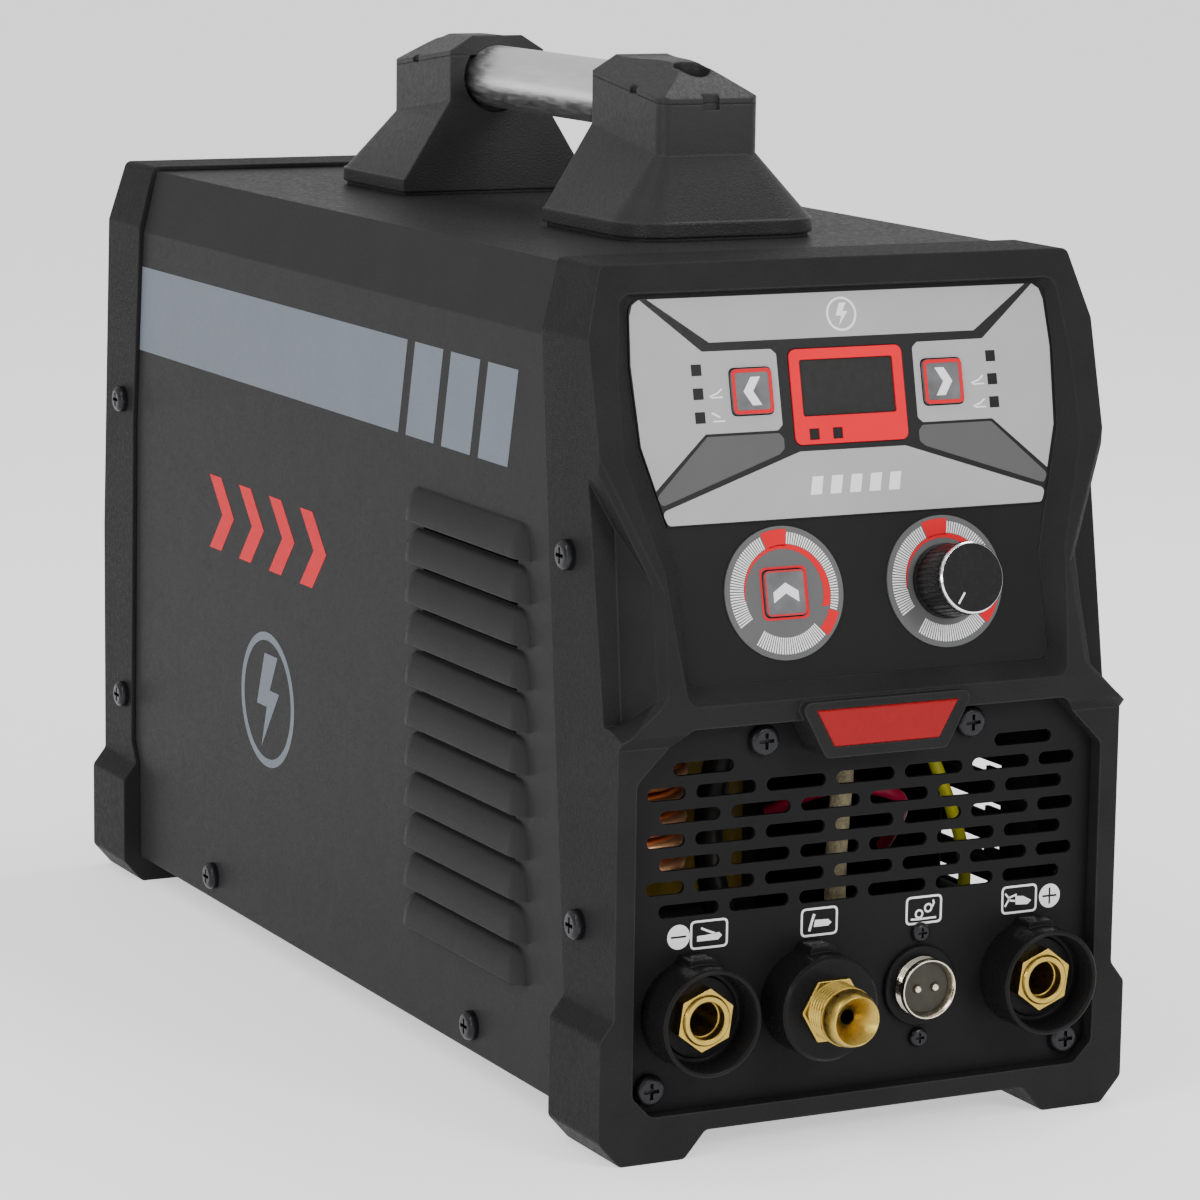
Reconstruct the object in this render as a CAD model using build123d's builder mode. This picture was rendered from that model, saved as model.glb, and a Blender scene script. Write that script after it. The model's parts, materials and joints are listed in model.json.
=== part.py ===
from build123d import *
import os
from math import atan, cos, degrees, radians, sin

# TIG welding inverter. Millimetres, +Z up, +X to the right of somebody facing the front,
# +Y towards the back. The origin is under the middle of the machine, on the floor.
# Depths are counted from the lower front face towards the back.

# ---- driving dimensions ----
LENGTH = 360.0                 # lower front face to rear face
BEZEL_HALF = 73.5              # half width of both moulded bezels
FOOT_HALF = 77.5               # half width over the moulded feet
BEZEL_TOP = 225.0
COVER_HALF = 72.0              # half width of the sheet cover
COVER_TOP = 223.6
COVER_BOTTOM = 8.2
COVER_TOP_HALF = 66.9          # half width of the flat top
BEND_Z = 205.3                 # height of the bend between side and shoulder
SHEET = 1.2                    # steel sheet thickness
GAP = 0.1                      # assembly gap between sheet and moulding
COVER_FRONT = 21.0
COVER_BACK = 343.0
PANEL_DEPTH = 7.4              # control panel face at the height of the dials
DIAL_Z = 142.3
PANEL_LEAN = degrees(atan(0.23))
CONNECTOR_DEPTH = 4.5          # face of the slotted connector panel
SOCKET_Z = 37.0
SOCKET_X = 49.8
TORCH_X = -15.5
CONTROL_SOCKET_X = 17.2
TUBE_R = 9.0
TUBE_Z = 258.0
HANDLE_MID = 182.3             # depth midway between the handle brackets
REAR_PANEL_DEPTH = 350.0       # outer face of the rear panel
FAN_Z = 84.0
FAN_SIZE = 92.0
SWITCH_X = -40.0
SWITCH_Z = 180.0
GLAND_X = 0.0
GLAND_Z = 168.0
GAS_X = 40.0
GAS_Z = 172.0
VALVE_TRAVEL = 2.0
KEY_TRAVEL = 0.6


def depth(d):
    """Y of a point at depth d."""
    return d - LENGTH / 2


def facing_front(d):
    """Plane at depth d that faces the front: local x is +X, local y is +Z."""
    return Plane.XZ.offset(-depth(d))


def facing_back(d):
    """Plane at depth d that faces the back: local x is -X, local y is +Z."""
    return Plane(origin=(0, depth(d), 0), x_dir=(-1, 0, 0), z_dir=(0, 1, 0))


def front_point(x, d, z):
    """Plane that faces the front, centred on a point."""
    return Plane(origin=(x, depth(d), z), x_dir=(1, 0, 0), z_dir=(0, -1, 0))


def back_point(x, d, z):
    """Plane that faces the back, centred on a point."""
    return Plane(origin=(x, depth(d), z), x_dir=(-1, 0, 0), z_dir=(0, 1, 0))


def side_point(side, x, d, z):
    """Plane that faces outwards on the left (-1) or right (+1) side."""
    return Plane(origin=(side * x, depth(d), z), x_dir=(0, side, 0), z_dir=(side, 0, 0))


def panel_point(x, v, lift=0.0):
    """Plane parallel to the leaning control panel, x across and v up from the dials' centre line."""
    lean = radians(PANEL_LEAN)
    origin = (x, depth(PANEL_DEPTH) + v * sin(lean) - lift * cos(lean),
              DIAL_Z + v * cos(lean) + lift * sin(lean))
    return Plane(origin=origin, x_dir=(1, 0, 0), z_dir=(0, -cos(lean), sin(lean)))


PANEL = panel_point(0, 0)


def leaning_outline(points, d, slope, lift=0.0):
    """Closed outline on a plane that passes depth d at the floor and leans back by slope."""
    lean = atan(slope)
    origin = (0, depth(d) - lift * cos(lean), lift * sin(lean))
    plane = Plane(origin=origin, x_dir=(1, 0, 0), z_dir=(0, -cos(lean), sin(lean)))
    with BuildSketch(plane) as outline:
        Polygon(*[(x, (z - lift * sin(lean)) / cos(lean)) for x, z in points], align=None)
    return outline.sketch


def mirrored(points):
    """Closed outline from its right-hand half, listed from the bottom up."""
    return points + [(-x, z) for x, z in reversed(points)]


def finish(name, label):
    """Label a finished piece and write it."""
    name.part.label = label
    export_step(name.part, f"parts/{label}.step")


os.makedirs("parts", exist_ok=True)

# ---- outlines shared by several pieces, right-hand halves, (x, z) ----
BEZEL_EDGE = [(47, 7), (53, 0), (71.4, 0), (FOOT_HALF, 6.9), (FOOT_HALF, 32.9),
              (BEZEL_HALF, 38.1), (BEZEL_HALF, 207), (68.2, BEZEL_TOP)]
COVER_EDGE = [(COVER_HALF, COVER_BOTTOM), (COVER_HALF, BEND_Z), (COVER_TOP_HALF, COVER_TOP)]
CAVITY_EDGE = [(COVER_HALF + GAP, COVER_BOTTOM - GAP), (COVER_HALF + GAP, BEND_Z),
               (COVER_TOP_HALF + GAP, COVER_TOP + GAP)]
WAIST_EDGE = [(69.9, 8.1), (69.9, 103), (57.6, 116.5), (57.6, 148.5), (70.5, 177), (70.5, 206),
              (65.5, 222)]
PANEL_EDGE = [(52.7, -21.9), (52.4, 6.9), (61.3, 38.7), (62, 59.2), (61, 76.6)]
RECESS_MOUTH = [(57, -30.4), (64.6, 6.6), (74.6, 30.5), (74, 51.5), (70.3, 78)]
RECESS_MOUTH_LIFT = 8.0
PLATE_EDGE = [(54.9, -24), (54.6, 6.5), (63.6, 38.5), (64.4, 59.2), (63.4, 78.8)]
OPENING_EDGE = [(62.6, 11.9), (68, 17.5), (68, 98), (54.5, 111.5)]
CONNECTOR_PANEL_EDGE = [(64, 10.3), (69.6, 16), (69.6, 98.8), (55.2, 113.2)]
SIDE_SCREWS = [(28.6, 152.0), (20.5, 58.5), (342.6, 152.0), (342.6, 58.5)]
BASE_SCREWS = [(86.0, 15.5), (271.0, 15.5)]
SCREW_HOLE_R = 2.15
HANDLE_SCREW_DEPTHS = (97, 128)
HANDLE_SCREW_PLACES = [(x, depth(d)) for x in (-16, 16) for d in HANDLE_SCREW_DEPTHS]
HANDLE_SCREW_PLACES += [(x, depth(2 * HANDLE_MID - d)) for x in (-16, 16) for d in HANDLE_SCREW_DEPTHS]


# ---- screws ----
def pan_head_screw(head_r, head_h, shank_r, shank_length):
    """Pan head screw with a cross recess, standing on the XY plane head upwards."""
    with BuildPart() as screw:
        with BuildSketch(Plane.XY):
            Circle(head_r)
        extrude(amount=head_h)
        fillet(screw.faces().sort_by(Axis.Z)[-1].edges(), radius=head_h * 0.62)
        with BuildSketch(Plane.XY):
            Circle(shank_r)
        extrude(amount=-shank_length)
        chamfer(screw.faces().sort_by(Axis.Z)[0].edges(), length=shank_r * 0.35)
        with BuildSketch(Plane.XY.offset(head_h)):
            Rectangle(head_r * 1.05, head_r * 0.24)
            Rectangle(head_r * 0.24, head_r * 1.05)
        extrude(amount=-head_h * 0.6, mode=Mode.SUBTRACT)
    return screw.part


# ---- front bezel ----
with BuildPart() as front_cavity:
    # space for the cover's front edge
    with BuildSketch(facing_front(60)):
        Polygon(*mirrored(CAVITY_EDGE), align=None)
    extrude(amount=40)
    # narrower space between the side pockets
    with BuildSketch(facing_front(21)):
        Polygon(*mirrored(WAIST_EDGE), align=None)
    extrude(amount=21 - CONNECTOR_DEPTH)
    # nothing in front of the control panel's face
    with BuildSketch(PANEL):
        with Locations((0, 60)):
            Rectangle(180, 180)
    extrude(amount=40, mode=Mode.SUBTRACT)
    # seat of the control panel plate
    with BuildSketch(PANEL):
        Polygon(*mirrored(PLATE_EDGE), align=None)
    extrude(amount=-9)


RIM_SLOPE = 0.2556             # lean of the rim beside the control panel
RIM_FOOT = -33.2               # depth at which the rim's plane would meet the floor
WAIST_SLOPE = 0.168            # lean of the pockets' rear walls
WAIST_FOOT = -10.4
WAIST_MOUTH = [(60.8, 120.2), (59.1, 145.5), (90, 217), (90, 88.7)]
WAIST_NECK = [(63.2, 119.4), (61.6, 147.0), (90, 212.7), (90, 90.5)]
WAIST_REAR = [(68.4, 111.5), (66.8, 160), (90, 204), (90, 111.5)]


def waist_pocket(side):
    """Pocket beside the control panel that narrows the front to a waist, with a chamfered mouth."""
    mouth, neck, rear = [[(side * x, z) for x, z in points]
                         for points in (WAIST_MOUTH, WAIST_NECK, WAIST_REAR)]
    loft([leaning_outline(mouth, RIM_FOOT, RIM_SLOPE, 12),
          leaning_outline(mouth, RIM_FOOT, RIM_SLOPE),
          leaning_outline(neck, RIM_FOOT, RIM_SLOPE, -1.4),
          leaning_outline(rear, WAIST_FOOT, WAIST_SLOPE)], ruled=True, mode=Mode.SUBTRACT)


TONGUE_EDGE = [(17.6, 101.8), (25.4, 116.4)]
BADGE_EDGE = [(15.3, 104.6), (20.8, 114.4)]
TONGUE_FRONT = -6.0

with BuildPart() as front_bezel:
    with BuildSketch(facing_front(50)):
        Polygon(*mirrored(BEZEL_EDGE), align=None)
        fillet(vertices(), radius=2.2)
    extrude(amount=60)
    # side profile: upright lower face, chin, leaning rim; the rear edge leans back too
    with BuildSketch(Plane.YZ) as bezel_side:
        with BuildLine():
            Polyline((depth(0), -1), (depth(0), 107), (depth(-3.3), 110.5), (depth(-3.3), 117),
                     (depth(24.3), BEZEL_TOP), (depth(24.6), BEZEL_TOP + 1), (depth(47.8), BEZEL_TOP + 1),
                     (depth(28.5), 38.1), (depth(28.5), -1), close=True)
        make_face()
        fillet(bezel_side.vertices().group_by(Axis.X)[0], radius=1.5)
    extrude(amount=FOOT_HALF + 5, both=True, mode=Mode.INTERSECT)
    for side in (-1, 1):
        waist_pocket(side)
    # recess of the control panel, with drafted walls
    with BuildSketch(PANEL):
        Polygon(*mirrored(PANEL_EDGE), align=None)
        fillet(vertices(), radius=3)
    with BuildSketch(PANEL.offset(RECESS_MOUTH_LIFT)):
        Polygon(*mirrored(RECESS_MOUTH), align=None)
        fillet(vertices(), radius=4)
    loft(mode=Mode.SUBTRACT)
    # opening of the connector panel
    with BuildSketch(facing_front(CONNECTOR_DEPTH + 2)):
        Polygon(*mirrored(OPENING_EDGE), align=None)
        fillet(vertices(), radius=3)
    extrude(amount=16, mode=Mode.SUBTRACT)
    add(front_cavity.part, mode=Mode.SUBTRACT)
    # tongue that carries the badge
    with BuildSketch(facing_front(CONNECTOR_DEPTH)):
        Polygon(*mirrored(TONGUE_EDGE), align=None)
        fillet(vertices(), radius=2)
    extrude(amount=CONNECTOR_DEPTH - TONGUE_FRONT)
    with BuildSketch(facing_front(TONGUE_FRONT)):
        Polygon(*mirrored(BADGE_EDGE), align=None)
    extrude(amount=-1.0, mode=Mode.SUBTRACT)
    # screw holes in the skirt
    for side in (-1, 1):
        for d, z in SIDE_SCREWS[:2]:
            with BuildSketch(side_point(side, BEZEL_HALF + 2, d, z)):
                Circle(SCREW_HOLE_R)
            extrude(amount=-8, mode=Mode.SUBTRACT)
finish(front_bezel, "front_bezel")

with BuildPart() as badge:
    with BuildSketch(facing_front(TONGUE_FRONT + 1.0)):
        Polygon(*mirrored(BADGE_EDGE), align=None)
        offset(amount=-GAP)
    extrude(amount=1.4)
    chamfer(badge.faces().sort_by(Axis.Y)[0].edges(), length=0.4)
finish(badge, "badge")

# ---- rear bezel ----
REAR_SIDE = [(330.5, BEZEL_TOP + 1), (328.2, 207), (334.3, 146.3), (336.8, 44.6), (333, 38.1), (333, -1)]
REAR_OPENING_EDGE = [(60, 14), (66, 20), (66, 196), (56, 212)]

with BuildPart() as rear_bezel:
    with BuildSketch(facing_front(LENGTH)):
        Polygon(*mirrored(BEZEL_EDGE), align=None)
        fillet(vertices(), radius=2.2)
    extrude(amount=40)
    with BuildSketch(Plane.YZ) as rear_side:
        with BuildLine():
            Polyline(*[(depth(d), z) for d, z in REAR_SIDE], (depth(LENGTH), -1), (depth(LENGTH), 110),
                     (depth(LENGTH - 5.5), 207), (depth(LENGTH - 7), BEZEL_TOP + 1), close=True)
        make_face()
    extrude(amount=FOOT_HALF + 5, both=True, mode=Mode.INTERSECT)
    # recess behind which the rear panel sits
    with BuildSketch(facing_front(LENGTH + 2)):
        Polygon(*mirrored(REAR_OPENING_EDGE), align=None)
        fillet(vertices(), radius=4)
    extrude(amount=60, mode=Mode.SUBTRACT)
    with BuildSketch(facing_front(REAR_PANEL_DEPTH)):
        Polygon(*mirrored(CAVITY_EDGE), align=None)
    extrude(amount=60, mode=Mode.SUBTRACT)
    for side in (-1, 1):
        for d, z in SIDE_SCREWS[2:]:
            with BuildSketch(side_point(side, BEZEL_HALF + 2, d, z)):
                Circle(SCREW_HOLE_R)
            extrude(amount=-8, mode=Mode.SUBTRACT)
finish(rear_bezel, "rear_bezel")

# ---- sheet cover with pressed louvres ----
LOUVRE_COUNT = 11
LOUVRE_PITCH = 11.2
LOUVRE_FIRST_Z = 34.5          # lower lip of the lowest louvre
LOUVRE_HEIGHT = 9.3
LOUVRE_LENGTH = 77.0
LOUVRE_DEPTH = 90.5            # depth of the louvres' middle
LOUVRE_BULGE = 3.9
LOUVRE_END = 6.6               # length of the rounded ends
LOUVRE_WALL = 0.9
LOUVRE_SLOT = (59.0, 1.8)      # air slot under each lip


def louvre_form(shrink):
    """Elongated half dome with its flat side down, pressed out on both sides of the sheet."""
    end = LOUVRE_END - shrink
    straight = (LOUVRE_LENGTH - 2 * LOUVRE_END) / end
    with BuildPart() as form:
        with BuildSketch(Plane.XZ.offset(-straight / 2)):
            Circle(1)
        extrude(amount=straight)
        with Locations((0, -straight / 2, 0), (0, straight / 2, 0)):
            Sphere(1)
        with BuildSketch():
            Rectangle(3, straight + 4)
        extrude(amount=-2, mode=Mode.SUBTRACT)
    return scale(form.part, by=(LOUVRE_BULGE - shrink, end, LOUVRE_HEIGHT - shrink))


def louvre_places(side):
    """Middle of every lip on one side."""
    return [(side * (COVER_HALF - SHEET / 2), depth(LOUVRE_DEPTH), LOUVRE_FIRST_Z + row * LOUVRE_PITCH)
            for row in range(LOUVRE_COUNT)]


LOUVRE_PLACES = louvre_places(-1) + louvre_places(1)

with BuildPart() as louvre_hoods:
    with Locations(*LOUVRE_PLACES):
        add(louvre_form(0.0))
    # only the outer halves are pressed out of the sheet
    with BuildSketch():
        Rectangle(2 * (COVER_HALF - SHEET / 2), LENGTH)
    extrude(amount=BEZEL_TOP, mode=Mode.SUBTRACT)

with BuildPart() as louvre_hollows:
    with Locations(*LOUVRE_PLACES):
        add(louvre_form(LOUVRE_WALL))

with BuildPart() as louvre_slots:
    with Locations(*[Plane(origin=(x, y, z - LOUVRE_SLOT[1] / 2), x_dir=(0, 1, 0), z_dir=(1, 0, 0))
                     for x, y, z in LOUVRE_PLACES]):
        Box(LOUVRE_SLOT[0], LOUVRE_SLOT[1] + 0.02, 3 * SHEET)

with BuildPart() as cover:
    with BuildSketch(facing_front(COVER_BACK)):
        inner = [(COVER_HALF - SHEET, COVER_BOTTOM - 1), (COVER_HALF - SHEET, BEND_Z - 0.2),
                 (COVER_TOP_HALF - 0.95, COVER_TOP - SHEET)]
        Polygon(*mirrored(COVER_EDGE), align=None)
        Polygon(*mirrored(inner), align=None, mode=Mode.SUBTRACT)
    extrude(amount=COVER_BACK - COVER_FRONT)
    # the front edge leans back with the control panel
    with BuildSketch(Plane.YZ):
        Polygon((depth(0), 150), (depth(COVER_FRONT + 3), 150), (depth(COVER_FRONT + 22), BEZEL_TOP + 1),
                (depth(0), BEZEL_TOP + 1), align=None)
    extrude(amount=FOOT_HALF, both=True, mode=Mode.SUBTRACT)
    add(louvre_hoods.part)
    add(louvre_hollows.part, mode=Mode.SUBTRACT)
    add(louvre_slots.part, mode=Mode.SUBTRACT)
    for side in (-1, 1):
        for d, z in SIDE_SCREWS + BASE_SCREWS:
            with BuildSketch(side_point(side, COVER_HALF + 1, d, z)):
                Circle(SCREW_HOLE_R)
            extrude(amount=-3, mode=Mode.SUBTRACT)
    with BuildSketch(Plane.XY.offset(COVER_TOP)):
        with Locations(*HANDLE_SCREW_PLACES):
            Circle(2.7)
    extrude(amount=-2 * SHEET, mode=Mode.SUBTRACT)
finish(cover, "cover")

# ---- base plate: a tray whose low side flanges take the base screws ----
BASE_HALF = COVER_HALF - SHEET - GAP
FLANGE_TOP = 24.0
BASE_FRONT = 7.0
BASE_BACK = 348.0

with BuildPart() as base_plate:
    with BuildSketch(facing_front(BASE_BACK)):
        Polygon((-BASE_HALF, COVER_BOTTOM), (BASE_HALF, COVER_BOTTOM), (BASE_HALF, FLANGE_TOP),
                (BASE_HALF - SHEET, FLANGE_TOP), (BASE_HALF - SHEET, COVER_BOTTOM + SHEET),
                (SHEET - BASE_HALF, COVER_BOTTOM + SHEET), (SHEET - BASE_HALF, FLANGE_TOP),
                (-BASE_HALF, FLANGE_TOP), align=None)
    extrude(amount=BASE_BACK - COVER_FRONT - 10)
    with BuildSketch(Plane.XY.offset(COVER_BOTTOM)):
        with Locations((0, depth((BASE_FRONT + 40) / 2))):
            Rectangle(120, 40 - BASE_FRONT)
    extrude(amount=SHEET)
    for side in (-1, 1):
        for d, z in BASE_SCREWS:
            with BuildSketch(side_point(side, COVER_HALF, d, z)):
                Circle(SCREW_HOLE_R)
            extrude(amount=-4, mode=Mode.SUBTRACT)
finish(base_plate, "base_plate")

# ---- side and base screws: one group of identical fasteners ----
COVER_SCREW = pan_head_screw(head_r=4.0, head_h=2.7, shank_r=2.0, shank_length=6.5)
with BuildPart() as cover_screws:
    screw_planes = [side_point(side, BEZEL_HALF + 0.02, d, z) for side in (-1, 1) for d, z in SIDE_SCREWS]
    screw_planes += [side_point(side, COVER_HALF + 0.02, d, z) for side in (-1, 1) for d, z in BASE_SCREWS]
    with Locations(*screw_planes):
        add(COVER_SCREW)
finish(cover_screws, "cover_screws")

# ---- control panel plate ----
PLATE_THICKNESS = 2.4
KEY_SIZE = 11.6
KEY_V = 51.3
KEY_X = 27.9
MODE_KEY_X = -23.5
KNOB_X = 23.5
DIAL_R = 17.0
DIAL_THICKNESS = 0.5
OVERLAY_THICKNESS = 0.5
KEY_CLEARANCE = 0.3
SHAFT_R = 3.0
LED_X = 43.0
LED_VS = [57.3, 51.3, 45.3]
UNIT_LED_XS = [-10.9, -4.1]
UNIT_LED_V = 39.6
LED_SIZE = 2.8
WINDOW_V = 51.4
KEY_PLACES = {"left_key": (-KEY_X, KEY_V), "right_key": (KEY_X, KEY_V), "mode_key": (MODE_KEY_X, 0.0)}
LED_PLACES = [(side * LED_X, v) for side in (-1, 1) for v in LED_VS]
UNIT_LED_PLACES = [(x, UNIT_LED_V) for x in UNIT_LED_XS]

with BuildPart() as control_panel:
    with BuildSketch(PANEL):
        Polygon(*mirrored(PLATE_EDGE), align=None)
        fillet(vertices(), radius=2.5)
        with Locations(*KEY_PLACES.values()):
            RectangleRounded(KEY_SIZE + 2 * KEY_CLEARANCE, KEY_SIZE + 2 * KEY_CLEARANCE, 1.6,
                             mode=Mode.SUBTRACT)
        with Locations((KNOB_X, 0)):
            Circle(3.6, mode=Mode.SUBTRACT)
        with Locations((0, WINDOW_V)):
            Rectangle(28, 15, mode=Mode.SUBTRACT)
        with Locations(*LED_PLACES, *UNIT_LED_PLACES):
            Rectangle(LED_SIZE, LED_SIZE, mode=Mode.SUBTRACT)
    extrude(amount=-PLATE_THICKNESS)
finish(control_panel, "control_panel")

# printed overlay: follows the recess above the dials
OVERLAY_EDGE = [(54.8, 18.4), (60.6, 38.7), (61.6, 59.2), (60.4, 75.9)]
FRAME_V = 49.2
with BuildPart() as panel_overlay:
    with BuildSketch(PANEL):
        Polygon(*mirrored(OVERLAY_EDGE), align=None)
        fillet(vertices().group_by(Axis.Y)[-1], radius=4)
        with Locations(*[KEY_PLACES[name] for name in ("left_key", "right_key")]):
            RectangleRounded(KEY_SIZE + 2 * KEY_CLEARANCE, KEY_SIZE + 2 * KEY_CLEARANCE, 1.6,
                             mode=Mode.SUBTRACT)
        with Locations((0, FRAME_V)):
            RectangleRounded(33.2, 24.6, 2, mode=Mode.SUBTRACT)
        with Locations(*LED_PLACES):
            Rectangle(LED_SIZE, LED_SIZE, mode=Mode.SUBTRACT)
    extrude(amount=OVERLAY_THICKNESS)
finish(panel_overlay, "panel_overlay")

with BuildPart() as display_frame:
    with BuildSketch(PANEL):
        with Locations((0, FRAME_V)):
            RectangleRounded(33.0, 24.4, 2)
        with Locations((0, WINDOW_V)):
            RectangleRounded(27.2, 14.4, 0.6, mode=Mode.SUBTRACT)
        with Locations(*UNIT_LED_PLACES):
            Rectangle(LED_SIZE, LED_SIZE, mode=Mode.SUBTRACT)
    extrude(amount=0.8)
finish(display_frame, "display_frame")

with BuildPart() as display_window:
    with BuildSketch(PANEL.offset(-PLATE_THICKNESS)):
        with Locations((0, WINDOW_V)):
            RectangleRounded(27.0, 14.2, 0.6)
    extrude(amount=PLATE_THICKNESS + 0.4)
finish(display_window, "display_window")

with BuildPart() as indicator_lights:
    with BuildSketch(PANEL.offset(-PLATE_THICKNESS)):
        with Locations(*LED_PLACES, *UNIT_LED_PLACES):
            Rectangle(LED_SIZE - 0.1, LED_SIZE - 0.1)
    extrude(amount=PLATE_THICKNESS + 0.55)
finish(indicator_lights, "indicator_lights")

# push keys: square caps with a hidden collar behind the plate
for label, (x, v) in KEY_PLACES.items():
    with BuildPart() as key:
        with BuildSketch(panel_point(x, v)):
            RectangleRounded(KEY_SIZE, KEY_SIZE, 1.5)
        extrude(amount=1.3)
        with BuildSketch(panel_point(x, v)):
            RectangleRounded(KEY_SIZE, KEY_SIZE, 1.5)
        extrude(amount=-PLATE_THICKNESS - 0.3)
        with BuildSketch(panel_point(x, v, -PLATE_THICKNESS - 0.3)):
            RectangleRounded(KEY_SIZE + 2, KEY_SIZE + 2, 1.5)
        extrude(amount=-0.8)
        with BuildSketch(panel_point(x, v, -PLATE_THICKNESS - 1.1)):
            Circle(1.6)
        extrude(amount=-0.9)
    finish(key, label)

# dial plates: one round the mode key, one under the knob
with BuildPart() as dial_plates:
    with BuildSketch(PANEL):
        with Locations((MODE_KEY_X, 0), (KNOB_X, 0)):
            Circle(DIAL_R)
        with Locations((MODE_KEY_X, 0)):
            RectangleRounded(KEY_SIZE + 2 * KEY_CLEARANCE, KEY_SIZE + 2 * KEY_CLEARANCE, 1.6,
                             mode=Mode.SUBTRACT)
        with Locations((KNOB_X, 0)):
            Circle(3.6, mode=Mode.SUBTRACT)
    extrude(amount=DIAL_THICKNESS)
finish(dial_plates, "dial_plates")

# ---- knob ----
KNOB_LIFT = 0.9                # clear of the dial plate
KNOB_R = 9.4
KNOB_LENGTH = 13.5
KNOB_RING_R = 9.2
KNOB_FACE_R = 8.3
FLUTES = 36
KNOB_PLANE = panel_point(KNOB_X, 0, KNOB_LIFT)
KNOB_FRONT = panel_point(KNOB_X, 0, KNOB_LIFT + KNOB_LENGTH)

with BuildPart() as knob:
    with BuildSketch(KNOB_PLANE):
        Circle(KNOB_R)
        with PolarLocations(KNOB_R + 0.15, FLUTES):
            Circle(0.42, mode=Mode.SUBTRACT)
    extrude(amount=KNOB_LENGTH - 1.6)
    with BuildSketch(KNOB_PLANE):
        Circle(KNOB_R + 0.3)
    extrude(amount=1.6)
    with BuildSketch(panel_point(KNOB_X, 0, KNOB_LIFT + KNOB_LENGTH - 1.6)):
        Circle(KNOB_RING_R - 0.5)
    extrude(amount=0.4)
    with BuildSketch(KNOB_PLANE):
        Circle(SHAFT_R)
    extrude(amount=9.0, mode=Mode.SUBTRACT)
finish(knob, "knob")

with BuildPart() as knob_ring:
    with BuildSketch(panel_point(KNOB_X, 0, KNOB_LIFT + KNOB_LENGTH - 1.2)):
        Circle(KNOB_RING_R)
    extrude(amount=1.2)
    chamfer(knob_ring.faces().sort_by(Axis.Y)[0].edges(), length=0.35)
    with BuildSketch(KNOB_FRONT):
        Circle(KNOB_FACE_R)
    extrude(amount=-1.2, mode=Mode.SUBTRACT)
finish(knob_ring, "knob_ring")

with BuildPart() as knob_cap:
    with BuildSketch(panel_point(KNOB_X, 0, KNOB_LIFT + KNOB_LENGTH - 1.2)):
        Circle(KNOB_FACE_R)
    extrude(amount=1.0)
finish(knob_cap, "knob_cap")

with BuildPart() as potentiometer_shaft:
    with BuildSketch(panel_point(KNOB_X, 0, -10)):
        Circle(SHAFT_R)
    extrude(amount=KNOB_LIFT + 9.0 + 10)
finish(potentiometer_shaft, "potentiometer_shaft")

with BuildPart() as potentiometer:
    with BuildSketch(panel_point(KNOB_X, 0, -PLATE_THICKNESS)):
        Circle(8.0)
    extrude(amount=-10.0)
    with BuildSketch(panel_point(KNOB_X, 0, -PLATE_THICKNESS)):
        Circle(3.5)
    extrude(amount=PLATE_THICKNESS + 0.4)
    with BuildSketch(panel_point(KNOB_X, 0, -10.0)):
        Circle(SHAFT_R + 0.05)
    extrude(amount=12.0, mode=Mode.SUBTRACT)
finish(potentiometer, "potentiometer")

# ---- connector panel: folded sheet with staggered slots ----
SLOT_LENGTH = 17.2
SLOT_HEIGHT = 3.4
SLOT_PITCH = 20.2
SLOT_ROW = 6.06
SLOT_TOP_Z = 100.0
HALF_SLOT_X = 57.3
HALF_SLOT_LENGTH = 10.8
COLLAR_HOLE_R = 11.0
PANEL_SCREWS = [(-30.3, 105.7), (30.3, 105.7), (-61.4, 18.0), (61.4, 18.0)]
CONTROL_SCREWS = [(CONTROL_SOCKET_X, SOCKET_Z + 14), (CONTROL_SOCKET_X, SOCKET_Z - 14)]
FLANGE_DEPTH = 30.0


def row_z(row):
    return SLOT_TOP_Z - row * SLOT_ROW


long_slots = [(side * 46.9, row_z(0)) for side in (-1, 1)]
long_slots += [(column * SLOT_PITCH, row_z(row)) for row in (1, 3, 5) for column in range(-2, 3)]
long_slots += [((column + 0.5) * SLOT_PITCH, row_z(row)) for row in (2, 4, 6) for column in range(-3, 3)]
half_slots = [(side * HALF_SLOT_X, row_z(row)) for row in (1, 3, 5) for side in (-1, 1)]

with BuildPart() as connector_panel:
    with BuildSketch(facing_front(CONNECTOR_DEPTH)):
        Polygon(*mirrored(CONNECTOR_PANEL_EDGE), align=None)
        with Locations(*long_slots):
            SlotOverall(SLOT_LENGTH, SLOT_HEIGHT, mode=Mode.SUBTRACT)
        with Locations(*half_slots):
            SlotOverall(HALF_SLOT_LENGTH, SLOT_HEIGHT, mode=Mode.SUBTRACT)
        with Locations((-SOCKET_X, SOCKET_Z), (SOCKET_X, SOCKET_Z), (TORCH_X, SOCKET_Z)):
            Circle(COLLAR_HOLE_R, mode=Mode.SUBTRACT)
        with Locations((CONTROL_SOCKET_X, SOCKET_Z)):
            Circle(8.2, mode=Mode.SUBTRACT)
        with Locations(*PANEL_SCREWS):
            Circle(1.9, mode=Mode.SUBTRACT)
        with Locations(*CONTROL_SCREWS):
            Circle(1.35, mode=Mode.SUBTRACT)
    extrude(amount=-SHEET)
    # side flanges that take the lower skirt screws
    for side in (-1, 1):
        with BuildSketch(Plane.XY.offset(20)):
            with Locations((side * (69.6 - SHEET / 2), depth((CONNECTOR_DEPTH + FLANGE_DEPTH) / 2))):
                Rectangle(SHEET, FLANGE_DEPTH - CONNECTOR_DEPTH)
        extrude(amount=76)
        with BuildSketch(side_point(side, BEZEL_HALF, SIDE_SCREWS[1][0], SIDE_SCREWS[1][1])):
            Circle(SCREW_HOLE_R)
        extrude(amount=-8, mode=Mode.SUBTRACT)
finish(connector_panel, "connector_panel")

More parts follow.
